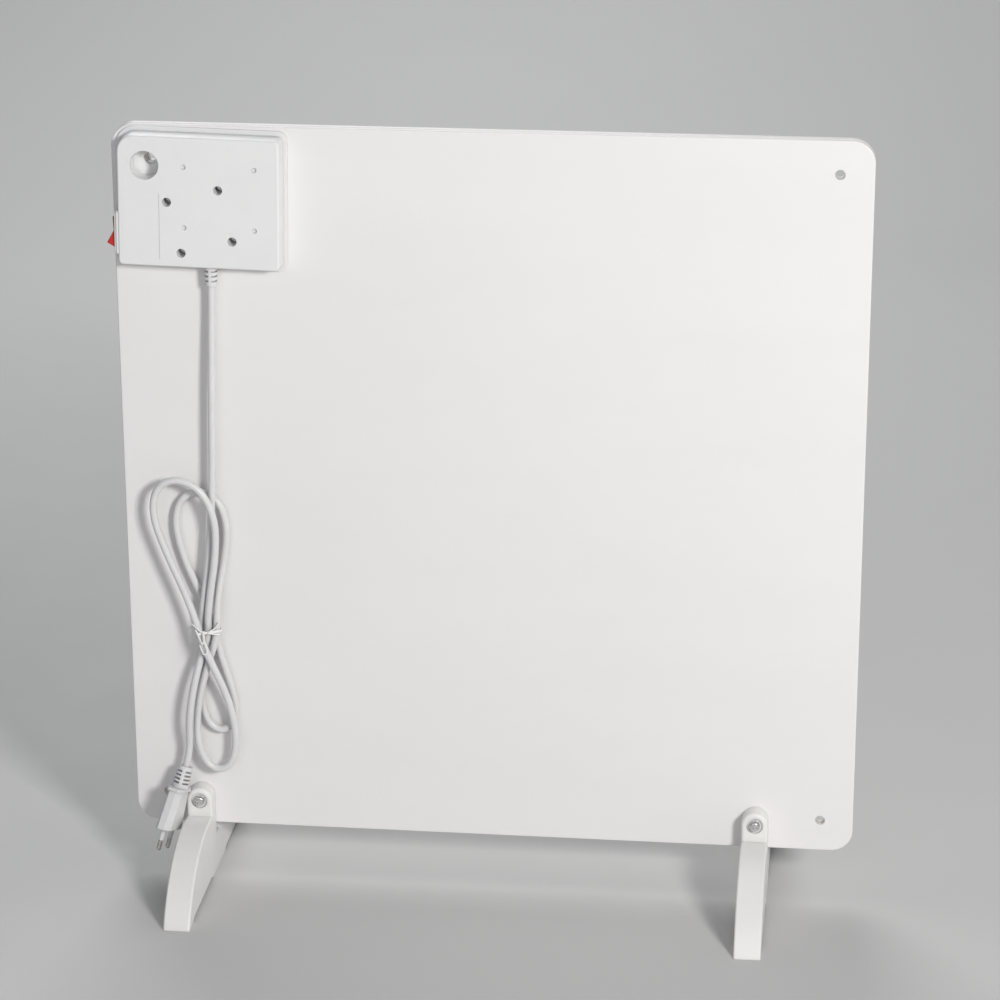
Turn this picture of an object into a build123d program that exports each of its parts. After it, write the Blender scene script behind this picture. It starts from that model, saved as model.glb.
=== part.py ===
"""Ceramic convector panel heater on two feet, with its control box, bundled cord and plug.

Millimetres, +Z up. The origin is on the floor, under the middle of the panel. The heated
face looks along -Y, and the face with the control box along +Y.
"""

import math
import os

from build123d import *

# Panel
PANEL_SIDE = 600.0
PANEL_CORNER = 18.0
FRONT_THICK = 6.0
SHEET_THICK = 2.0
BACK_THICK = 4.0
SEAL_WIDTH = 6.0
FLOOR_GAP = 42.0
PANEL_EDGE_ROUND = 1.0

# Holes by which the panel hangs on a wall
WALL_HOLE_DIA = 8.0
WALL_HOLE_INSET = 27.0
WELL_HOLE_X = 268.0
WELL_HOLE_DROP = 26.5

# Heating element
RIBBON_WIDTH = 3.0
RIBBON_THICK = 0.8
RIBBON_PLAY = 0.3
RUN_COUNT = 8
RUN_PITCH = 60.0
FIRST_RUN_X = 170.0
RUN_TOP_DROP = 21.3
RUN_BOTTOM_INSET = 68.0
RETURN_RISE = 37.0

# Feet
FOOT_WIDTH = 22.0
FOOT_LEFT_X = 244.3
FOOT_RIGHT_X = -219.8
FOOT_REACH = 128.0
FOOT_STRIP_TOP = 54.0
FOOT_FLAT_END = 39.3
SLOT_PLAY = 0.3
SLOT_FLOOR = 32.0
ARCH_RISE = 3.0
ARCH_FROM = 26.0
ARCH_TO = 111.0
ARCH_RAMP = 5.0
TAB_ROOT = 30.0
TAB_THICK = 15.5
TAB_EDGE_ROUND = 2.5
FOOT_EDGE_BEVEL = 1.0
FOOT_SCREW_HEIGHT = 68.0
FOOT_RECESS_DIA = 13.5
FOOT_RECESS_DEPTH = 2.0
PAD_LENGTH = 12.0

# Foot screws
FOOT_SCREW_DIA = 5.0
FOOT_HEAD_DIA = 8.6
FOOT_HEAD_THICK = 3.6
FOOT_HEAD_ROUND = 1.6
CROSS_SPAN = 5.4
CROSS_WIDTH = 1.3
CROSS_DEPTH = 1.8
WASHER_DIA = 9.2
WASHER_THICK = 1.0
SCREW_PLAY = 0.2
INSERT_WALL = 1.5
FOOT_INSERT_LENGTH = 8.0

# Control box, in its own plane: u to the right and v up, as seen from behind
BOX_X = 228.0
BOX_Z = 583.3
BOX_TURN = 1.13
BOX_WIDTH = 131.0
BOX_HEIGHT = 107.0
BOX_DEPTH = 18.0
BOX_DRAFT = 3.5
BOX_WALL = 2.2
BOX_CORNER = 5.0
BOX_BIG_CORNER = 14.0
BOX_EDGE_ROUND = 1.6
FLANGE_MARGIN_U = 3.1
FLANGE_MARGIN_V = 3.4
FLANGE_THICK = 2.0
FLANGE_CORNER = 8.0
FLANGE_BIG_CORNER = 17.0

# Screws of the box
BOX_SCREW_CIRCLE = 60.0
BOX_SCREW_TURN = 15.2
BOX_SCREW_CENTRE = (0.85, -14.9)
WELL_BORE = 7.3
WELL_WALL = 1.8
WELL_FLOOR = 3.0
BOX_SCREW_DIA = 3.0
BOX_HEAD_DIA = 6.4
BOX_HEAD_THICK = 2.2
BOX_INSERT_LENGTH = 7.0

# Well over the panel's fourth wall hole
BIG_WELL_CENTRE = (-42.7, 29.0)
BIG_WELL_BORE = 23.0
BIG_WELL_WALL = 1.8
BIG_WELL_FLOOR = 2.5
BIG_WELL_EYE = 10.0

# Small blind holes in the face of the box
DIMPLE_DIA = 4.0
DIMPLE_DEPTH = 1.4
DIMPLE_PITCH_U = 56.2
DIMPLE_PITCH_V = 48.9
DIMPLE_CENTRE = (16.6, 4.35)

# Rocker switch, on the wall that faces the photograph's left
SWITCH_V = -27.0
SWITCH_Y = 15.2
SWITCH_SEAT_PROUD = 0.5
BEZEL_LENGTH = 33.5
BEZEL_WIDTH = 14.0
BEZEL_THICK = 2.0
BEZEL_CORNER = 2.0
SWITCH_PAD_RIM = 1.0
SWITCH_BODY_DEPTH = 17.0
SWITCH_BODY_WALL = 1.2
SWITCH_HOLE_PLAY = 0.2
ROCKER_LENGTH = 26.0
ROCKER_WIDTH = 9.0
ROCKER_PLAY = 0.5
ROCKER_APEX_OUT = 11.0
ROCKER_APEX_RISE = 7.8
ROCKER_VALLEY = 4.6
ROCKER_SKIRT = 0.8
ROCKER_BELLY = 3.6
ROCKER_BELLY_HALF = 6.0
ROCKER_TILT = 13.0
ROCKER_PIVOT_IN = 1.6
ROCKER_PIN_DIA = 2.4
ROCKER_EDGE_ROUND = 0.6
ROCKER_VALLEY_ROUND = 4.0
PLUNGER_DIA = 2.6
PLUNGER_IN = 2.0
PLUNGER_REACH = 7.5
LEVER_HALF = 8.0
LEVER_THICK = 0.8
LEVER_WIDTH = 5.0
LEVER_RATIO = 0.4
LEVER_GAP = 0.7
FULCRUM_DIA = 1.6
CONTACT_GAP = 0.35
CONTACT_PAD = 3.0
FULCRUM_GAP = 0.3
SWITCH_FLOOR_THICK = 1.6
BEZEL_EDGE_ROUND = 0.8
PIN_PLAY = 0.15
PLUNGER_TIP_ROUND = 1.2
BLADE_WIDTH = 4.8
BLADE_THICK = 0.8
BLADE_LENGTH = 7.0
BLADE_PITCH = 9.0

# Terminal block
BLOCK_U = 4.0
BLOCK_V = -16.0
BLOCK_LENGTH = 25.0
BLOCK_HEIGHT = 14.0
BLOCK_THICK = 10.0
BLOCK_EAR = 6.6
BLOCK_EAR_THICK = 2.5
POLE_COUNT = 3
POLE_PITCH = 8.0
CLAMP_SIDE = 5.0
CLAMP_BORE = 2.8
CLAMP_SCREW_DIA = 2.6
CLAMP_SCREW_STEP = 3.5
CLAMP_SET_BACK = 1.0
WIRE_GRIP = 4.5
WIRE_BEND = 4.0
WIRE_ENTRY_V = -5.0
CORE_STRAIGHT = 3.5
BOSS_DIA = 6.0
BLOCK_SCREW_DIA = 2.4
BLOCK_SCREW_LENGTH = 6.0
BLOCK_SCREW_HEAD = 4.6
BLOCK_HEAD_THICK = 1.8
BLOCK_LIFT = 4.5

# Thermal cutout
CUTOUT_IN = 21.5
CUTOUT_V = 12.0
CUTOUT_DIA = 16.5
CUTOUT_THICK = 6.5
CUTOUT_TAB_WIDTH = 4.0
CUTOUT_TAB_THICK = 0.8
CUTOUT_TAB_LENGTH = 8.0
SPRING_THICK = 0.6
SPRING_WIDTH = 8.0
SPRING_RISE_RUN = 7.0
SPRING_PAD = 5.0

# Leads from the element
LEAD_RISE = 4.0
LEAD_PITCH = 8.0
LEAD_DIA = 2.4
GROMMET_DIA = 14.0
GROMMET_FLANGE = 17.0
GROMMET_FLANGE_THICK = 1.0

# Cord, its clamp and its strain relief
CORD_DIA = 6.0
CORD_Y = 15.0
RELIEF_U = 8.0
RELIEF_LENGTH = 15.5
RELIEF_TOP_DIA = 11.0
RELIEF_END_DIA = 9.2
RELIEF_SLOTS = 3
RELIEF_SLOT = 1.4
RELIEF_SLOT_PITCH = 4.0
RELIEF_SPINE = 2.4
RELIEF_COLLAR_DIA = 13.0
RELIEF_COLLAR = 2.0
RELIEF_COLLAR_DEPTH = 5.0
RELIEF_FIRST_SLOT = 2.6
RELIEF_SLOT_FLOOR = 0.6
RELIEF_PLAY = 0.1
CLAMP_IN = 9.5
CLAMP_LENGTH = 25.0
CLAMP_WIDTH = 6.5
CLAMP_THICK = 3.0
CLAMP_SCREW_PITCH = 18.0
CORD_GRIP_GAP = 0.2
SHEATH_END_IN = 16.5
CORE_DIA = 2.2
CORE_PITCH = 2.6

# Bundle of cord, as seen from behind: offsets to the right of the tie, and depths along Y
TIE_X = 232.1
TIE_Z = 221.8
BACK_LAYER = 11.9
MIDDLE_LAYER = 18.5
FRONT_LAYER = 25.0
LOOP_POINTS = 12
LOOP_SHARPNESS = 2.0
WAIST_SHARE = 0.42
DEPTH_SHARE = 0.5
DEPTH_POWER = 2.5
LEAD_LAST_BEND = (223.2, MIDDLE_LAYER, 430.0)
LEAD_END = (224.4, MIDDLE_LAYER, 372.0)
HANK_FIRST_RUN = 22.0
HANK_START = [
    (227.1, MIDDLE_LAYER, 315.0),
    (230.1, MIDDLE_LAYER, 280.0),
    (235.0, 19.6, 247.0),
]
HANK_END = [(234.5, 19.1, 210.0), (238.5, 21.0, 198.0), (241.5, 23.2, 186.0)]
TAIL_FIRST_RUN = 14.0
TAIL_MIDDLE = (249.5, 26.3, 142.0)
BOOT_LEAD_IN = 14.0
RELIEF_LEAD_OUT = 18.0

# Strands at the tie, in the order in which the cord passes it: offset and depth
TIE_SLOTS = [
    (-8.0, 13.5),
    (3.0, 10.6),
    (7.2, 18.8),
    (-6.0, 26.4),
    (0.3, 18.5),
]

# Loops of the bundle, in the order of the cord: up or down, reach, half width, lean, depth
LOOPS = [
    (-1, 93.3, 14.5, 7.5, BACK_LAYER),
    (1, 119.0, 22.0, -6.0, BACK_LAYER),
    (-1, 127.0, 17.0, 5.5, MIDDLE_LAYER),
    (1, 133.0, 26.0, -21.5, FRONT_LAYER),
]

# Twist tie
TIE_WIRE_DIA = 1.0
TIE_PLAY = 0.25
TWIST_BENDS = [2.0, 4.0, 4.0]
TWIST_ROUTE = [
    (247.6, 25.5, 225.5),
    (242.2, 29.9, 221.8),
    (239.5, 31.4, 213.0),
    (237.5, 31.8, 205.0),
    (235.0, 32.2, 203.5),
]

# Plug
PLUG_TOP = (259.5, 27.5, 80.1)
PLUG_AXIS = (0.25, 0.27, -0.93)
PLUG_SIDE = (-0.20, -0.93, -0.32)
PLUG_BODY_LENGTH = 33.2
PLUG_WIDTH = 35.3
PLUG_THICK = 13.7
PLUG_TOP_WIDTH = 26.0
PLUG_TOP_THICK = 12.0
PLUG_EDGE_THICK = 6.0
BOOT_LENGTH = 21.0
BOOT_END_DIA = 12.0
BOOT_ROOT_DIA = 14.5
BOOT_COLLAR_THICK = 2.4
BOOT_COLLAR_PROUD = 1.2
BOOT_SLOTS = 4
BOOT_SLOT = 1.5
BOOT_PITCH = 3.3
BOOT_SPINE = 3.0
PIN_DIA = 4.0
PIN_LENGTH = 19.0
PIN_PITCH = 18.6
SLEEVE_LENGTH = 10.0
PIN_NECK_DIA = 3.2
PIN_ROOT = 8.0
PIN_END_ROUND = 1.6
PLUG_CHAMFER = 6.5
BOOT_FIRST_SLOT = 6.1
BOOT_CORE_DIA = 7.6
BOOT_TURN = 73.0

# Places worked out from the sizes
PANEL_FRONT = -FRONT_THICK
SHEET_BACK = SHEET_THICK
PANEL_BACK = SHEET_THICK + BACK_THICK
PANEL_MID_Y = (PANEL_FRONT + PANEL_BACK) / 2
PANEL_THICK = PANEL_BACK - PANEL_FRONT
PANEL_Z = FLOOR_GAP + PANEL_SIDE / 2
HOLE_X = PANEL_SIDE / 2 - WALL_HOLE_INSET
HOLE_LOW = FLOOR_GAP + WALL_HOLE_INSET
HOLE_HIGH = FLOOR_GAP + PANEL_SIDE - WALL_HOLE_INSET
WELL_HOLE_Z = FLOOR_GAP + PANEL_SIDE - WELL_HOLE_DROP
WALL_HOLES = [
    (-HOLE_X, HOLE_LOW),
    (-HOLE_X, HOLE_HIGH),
    (HOLE_X, HOLE_LOW),
    (WELL_HOLE_X, WELL_HOLE_Z),
]
FEET = {"foot_left": FOOT_LEFT_X, "foot_right": FOOT_RIGHT_X}
TAB_TOP = FOOT_SCREW_HEIGHT + FOOT_WIDTH / 2
FOOT_SCREWS = [(x, FOOT_SCREW_HEIGHT) for x in FEET.values()]
FOOT_INSERT_DIA = FOOT_SCREW_DIA + 2 * INSERT_WALL
BOX_INSERT_DIA = BOX_SCREW_DIA + 2 * INSERT_WALL
LEAD_X = BOX_X
LEAD_Z = BOX_Z + LEAD_RISE
RUN_TOP = LEAD_Z - RUN_TOP_DROP
RUN_BOTTOM = FLOOR_GAP + RUN_BOTTOM_INSET
RETURN_HEIGHT = RUN_TOP + RETURN_RISE
LEADS = [(LEAD_X - LEAD_PITCH / 2, LEAD_Z), (LEAD_X + LEAD_PITCH / 2, LEAD_Z)]

TURN_COS = math.cos(math.radians(BOX_TURN))
TURN_SIN = math.sin(math.radians(BOX_TURN))
BOX_RIGHT = (-TURN_COS, 0, -TURN_SIN)
BOX_UP = (-TURN_SIN, 0, TURN_COS)
BOX_PLANE = Plane(origin=(BOX_X, PANEL_BACK, BOX_Z), x_dir=BOX_RIGHT, z_dir=(0, 1, 0))
BOX_CEILING = BOX_DEPTH - BOX_WALL
SWITCH_W = SWITCH_Y - PANEL_BACK
CORD_W = CORD_Y - PANEL_BACK
FLANGE_WIDTH = BOX_WIDTH + 2 * FLANGE_MARGIN_U
FLANGE_HEIGHT = BOX_HEIGHT + 2 * FLANGE_MARGIN_V
SWITCH_SEAT_U = -(BOX_WIDTH / 2 + SWITCH_SEAT_PROUD)
CLAMP_V = -(BOX_HEIGHT / 2 - CLAMP_IN)
CUTOUT_CENTRE = (BOX_WIDTH / 2 - CUTOUT_IN, CUTOUT_V)
SHEATH_END_V = -(BOX_HEIGHT / 2 - SHEATH_END_IN)
BLOCK_MID_W = BLOCK_LIFT + BLOCK_THICK / 2
BLOCK_SEAT_W = BLOCK_LIFT + BLOCK_EAR_THICK
BLOCK_EAR_U = BLOCK_LENGTH / 2 + BLOCK_EAR / 2
BLOCK_EARS = [(BLOCK_U - BLOCK_EAR_U, BLOCK_V), (BLOCK_U + BLOCK_EAR_U, BLOCK_V)]
CLAMP_SEAT_W = CORD_W - CORD_DIA / 2 - CORD_GRIP_GAP
CLAMP_SPOTS = [
    (RELIEF_U - CLAMP_SCREW_PITCH / 2, CLAMP_V),
    (RELIEF_U + CLAMP_SCREW_PITCH / 2, CLAMP_V),
]
SWITCH_WINDOW_LENGTH = ROCKER_LENGTH + 2 * ROCKER_PLAY
SWITCH_WINDOW_WIDTH = ROCKER_WIDTH + 2 * ROCKER_PLAY
SWITCH_BODY_LENGTH = SWITCH_WINDOW_LENGTH + 2 * SWITCH_BODY_WALL
SWITCH_BODY_WIDTH = SWITCH_WINDOW_WIDTH + 2 * SWITCH_BODY_WALL


def box_point(u, v, w=0.0):
    """Place in the part's frame of a point given in the box's own plane."""
    return BOX_PLANE.from_local_coords(Vector(u, v, w))


def box_local(x, z):
    """Place in the box's own plane of a point on the panel's back."""
    local = BOX_PLANE.to_local_coords(Vector(x, PANEL_BACK, z))
    return (local.X, local.Y)


BOX_SCREW_SPOTS = [
    (
        BOX_SCREW_CENTRE[0] + BOX_SCREW_CIRCLE / 2 * math.cos(math.radians(angle + BOX_SCREW_TURN)),
        BOX_SCREW_CENTRE[1] + BOX_SCREW_CIRCLE / 2 * math.sin(math.radians(angle + BOX_SCREW_TURN)),
    )
    for angle in (45, 135, 225, 315)
]
BOX_INSERTS = [box_point(u, v) for u, v in BOX_SCREW_SPOTS]
LEAD_SPOTS = [box_local(x, z) for x, z in LEADS]
BOX_DRAFT_AT_CORD = CORD_W * math.tan(math.radians(BOX_DRAFT))
RELIEF_V = -(BOX_HEIGHT / 2 - BOX_DRAFT_AT_CORD)
SWITCH_PLANE = Plane(
    origin=box_point(SWITCH_SEAT_U, SWITCH_V, SWITCH_W),
    x_dir=BOX_UP,
    z_dir=(TURN_COS, 0, TURN_SIN),
)
RELIEF_PLANE = Plane(
    origin=box_point(RELIEF_U, RELIEF_V, CORD_W),
    x_dir=BOX_RIGHT,
    z_dir=(TURN_SIN, 0, -TURN_COS),
)
POLE_SPOTS = [BLOCK_U + (i - (POLE_COUNT - 1) / 2) * POLE_PITCH for i in range(POLE_COUNT)]

CLAMP_SCREW_SPOTS = [
    (u, BLOCK_V + side * CLAMP_SCREW_STEP) for u in POLE_SPOTS for side in (-1, 1)
]
BLOCK_END = Plane(
    origin=box_point(BLOCK_U, BLOCK_V + BLOCK_HEIGHT / 2, BLOCK_MID_W),
    x_dir=BOX_RIGHT,
    z_dir=BOX_UP,
)

pieces = {}


def keep(name, builder):
    """Label a finished piece and put it on the list that is written out."""
    builder.part.label = name
    pieces[name] = builder.part


def back_plane(y):
    """Plane at depth y that looks along +Y, with its own x along +X and its y down."""
    return Plane(origin=(0, y, 0), x_dir=(1, 0, 0), z_dir=(0, 1, 0))


def spot(x, z):
    """Place of a point of the panel on a back_plane."""
    return (x, -z)


def arc_radii(points, share=0.45):
    """Radius at each inner point of a route, as large as its two runs allow."""
    vectors = [Vector(*p) for p in points]
    radii = []
    for before, here, after in zip(vectors, vectors[1:], vectors[2:]):
        run_in = here - before
        run_out = after - here
        half_turn = math.radians(run_in.get_angle(run_out)) / 2
        radii.append(share * min(run_in.length, run_out.length) / math.tan(half_turn))
    return radii


def tube(name, points, diameter):
    """Round tube along straight runs that are joined by tangent arcs, and its centre line."""
    radii = arc_radii(points)
    with BuildPart() as piece:
        with BuildLine() as route:
            FilletPolyline(*points, radius=radii)
        path = route.wire()
        with BuildSketch(Plane(origin=path @ 0, z_dir=path % 0)):
            Circle(diameter / 2)
        sweep(path=path)
    expected = path.length * math.pi * diameter**2 / 4
    print(
        f"{name}: length {path.length:.1f} mm, least radius {min(radii):.1f} mm, "
        f"volume share {piece.part.volume / expected:.4f}"
    )
    return piece, path


# Front plate
with BuildPart() as front_plate:
    with BuildSketch(back_plane(PANEL_FRONT)):
        with Locations(spot(0, PANEL_Z)):
            RectangleRounded(PANEL_SIDE, PANEL_SIDE, PANEL_CORNER)
    extrude(amount=FRONT_THICK)
    fillet(front_plate.faces().sort_by(Axis.Y)[0].edges(), PANEL_EDGE_ROUND)
    with BuildSketch(back_plane(PANEL_FRONT)):
        with Locations(*[spot(x, z) for x, z in WALL_HOLES]):
            Circle(WALL_HOLE_DIA / 2)
    extrude(amount=FRONT_THICK, mode=Mode.SUBTRACT)
    with BuildSketch(back_plane(PANEL_BACK)):
        with Locations(*[spot(x, z) for x, z in FOOT_SCREWS]):
            Circle(FOOT_INSERT_DIA / 2)
    extrude(amount=-FOOT_INSERT_LENGTH, mode=Mode.SUBTRACT)
    with BuildSketch(back_plane(PANEL_BACK)):
        with Locations(*[spot(p.X, p.Z) for p in BOX_INSERTS]):
            Circle(BOX_INSERT_DIA / 2)
    extrude(amount=-BOX_INSERT_LENGTH, mode=Mode.SUBTRACT)
keep("front_plate", front_plate)

# Back plate
with BuildPart() as back_plate:
    with BuildSketch(back_plane(SHEET_BACK)):
        with Locations(spot(0, PANEL_Z)):
            RectangleRounded(PANEL_SIDE, PANEL_SIDE, PANEL_CORNER)
    extrude(amount=BACK_THICK)
    fillet(back_plate.faces().sort_by(Axis.Y)[-1].edges(), PANEL_EDGE_ROUND)
    with BuildSketch(back_plane(SHEET_BACK)):
        with Locations(*[spot(x, z) for x, z in WALL_HOLES]):
            Circle(WALL_HOLE_DIA / 2)
        with Locations(*[spot(x, z) for x, z in FOOT_SCREWS]):
            Circle(FOOT_INSERT_DIA / 2)
        with Locations(*[spot(p.X, p.Z) for p in BOX_INSERTS]):
            Circle(BOX_INSERT_DIA / 2)
        with Locations(spot(LEAD_X, LEAD_Z)):
            Circle(GROMMET_DIA / 2)
    extrude(amount=BACK_THICK, mode=Mode.SUBTRACT)
keep("back_plate", back_plate)

# Seal round the edge, between the two plates
SHEET_SIDE = PANEL_SIDE - 2 * SEAL_WIDTH
with BuildPart() as edge_seal:
    with BuildSketch(back_plane(0)):
        with Locations(spot(0, PANEL_Z)):
            RectangleRounded(PANEL_SIDE - 1, PANEL_SIDE - 1, PANEL_CORNER)
            RectangleRounded(SHEET_SIDE, SHEET_SIDE, PANEL_CORNER - SEAL_WIDTH, mode=Mode.SUBTRACT)
    extrude(amount=SHEET_THICK)
keep("edge_seal", edge_seal)


def element_route():
    """Corner points of the ribbon, from one lead along all its runs to the other lead."""
    first_lead, last_lead = LEADS
    points = [first_lead, (first_lead[0], RUN_TOP), (FIRST_RUN_X, RUN_TOP)]
    for run in range(RUN_COUNT):
        x = FIRST_RUN_X - run * RUN_PITCH
        start, end = (RUN_TOP, RUN_BOTTOM) if run % 2 == 0 else (RUN_BOTTOM, RUN_TOP)
        if run > 0:
            points.append((x, start))
        points.append((x, end))
    last_x = FIRST_RUN_X - (RUN_COUNT - 1) * RUN_PITCH
    points[-1] = (last_x, RETURN_HEIGHT)
    points.append((last_lead[0], RETURN_HEIGHT))
    points.append(last_lead)
    return [spot(x, z) for x, z in points]


# Heating element, one flat ribbon
with BuildPart() as heating_element:
    with BuildSketch(back_plane(0)):
        with BuildLine():
            Polyline(*element_route())
        trace(line_width=RIBBON_WIDTH)
        with Locations(*[spot(x, z) for x, z in LEADS]):
            Circle(RIBBON_WIDTH / 2)
    extrude(amount=RIBBON_THICK)
keep("heating_element", heating_element)

# Carrier sheet of the element, with the channel that the ribbon lies in
with BuildPart() as element_sheet:
    with BuildSketch(back_plane(0)):
        with Locations(spot(0, PANEL_Z)):
            RectangleRounded(SHEET_SIDE, SHEET_SIDE, PANEL_CORNER - SEAL_WIDTH)
        with Locations(*[spot(x, z) for x, z in WALL_HOLES]):
            Circle(WALL_HOLE_DIA / 2, mode=Mode.SUBTRACT)
        with Locations(*[spot(x, z) for x, z in FOOT_SCREWS]):
            Circle(FOOT_INSERT_DIA / 2, mode=Mode.SUBTRACT)
        with Locations(*[spot(p.X, p.Z) for p in BOX_INSERTS]):
            Circle(BOX_INSERT_DIA / 2, mode=Mode.SUBTRACT)
        with Locations(*[spot(x, z) for x, z in LEADS]):
            Circle(LEAD_DIA / 2 + RIBBON_PLAY, mode=Mode.SUBTRACT)
    extrude(amount=SHEET_THICK)
    with BuildSketch(back_plane(0)):
        with BuildLine():
            Polyline(*element_route())
        trace(line_width=RIBBON_WIDTH + 2 * RIBBON_PLAY)
        with Locations(*[spot(x, z) for x, z in LEADS]):
            Circle(RIBBON_WIDTH / 2 + RIBBON_PLAY)
    extrude(amount=RIBBON_THICK, mode=Mode.SUBTRACT)
keep("element_sheet", element_sheet)

# Threaded inserts in the panel
with BuildPart() as foot_inserts:
    with BuildSketch(back_plane(PANEL_BACK)):
        with Locations(*[spot(x, z) for x, z in FOOT_SCREWS]):
            Circle(FOOT_INSERT_DIA / 2)
            Circle(FOOT_SCREW_DIA / 2, mode=Mode.SUBTRACT)
    extrude(amount=-FOOT_INSERT_LENGTH)
keep("foot_inserts", foot_inserts)

with BuildPart() as box_inserts:
    with BuildSketch(back_plane(PANEL_BACK)):
        with Locations(*[spot(p.X, p.Z) for p in BOX_INSERTS]):
            Circle(BOX_INSERT_DIA / 2)
            Circle(BOX_SCREW_DIA / 2, mode=Mode.SUBTRACT)
    extrude(amount=-BOX_INSERT_LENGTH)
keep("box_inserts", box_inserts)

# Grommet where the leads come out of the back plate
with BuildPart() as lead_grommet:
    with BuildSketch(back_plane(SHEET_BACK)):
        with Locations(spot(LEAD_X, LEAD_Z)):
            Circle(GROMMET_DIA / 2)
    extrude(amount=BACK_THICK)
    with BuildSketch(back_plane(PANEL_BACK)):
        with Locations(spot(LEAD_X, LEAD_Z)):
            Circle(GROMMET_FLANGE / 2)
    extrude(amount=GROMMET_FLANGE_THICK)
    with BuildSketch(back_plane(SHEET_BACK)):
        with Locations(*[spot(x, z) for x, z in LEADS]):
            Circle(LEAD_DIA / 2)
    extrude(amount=BACK_THICK + GROMMET_FLANGE_THICK, mode=Mode.SUBTRACT)
keep("lead_grommet", lead_grommet)


def box_corners(width, height):
    """Corners of a rectangle in the box's plane, from the one over the wall hole."""
    half_w, half_h = width / 2, height / 2
    return [(-half_w, half_h), (half_w, half_h), (half_w, -half_h), (-half_w, -half_h)]


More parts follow.
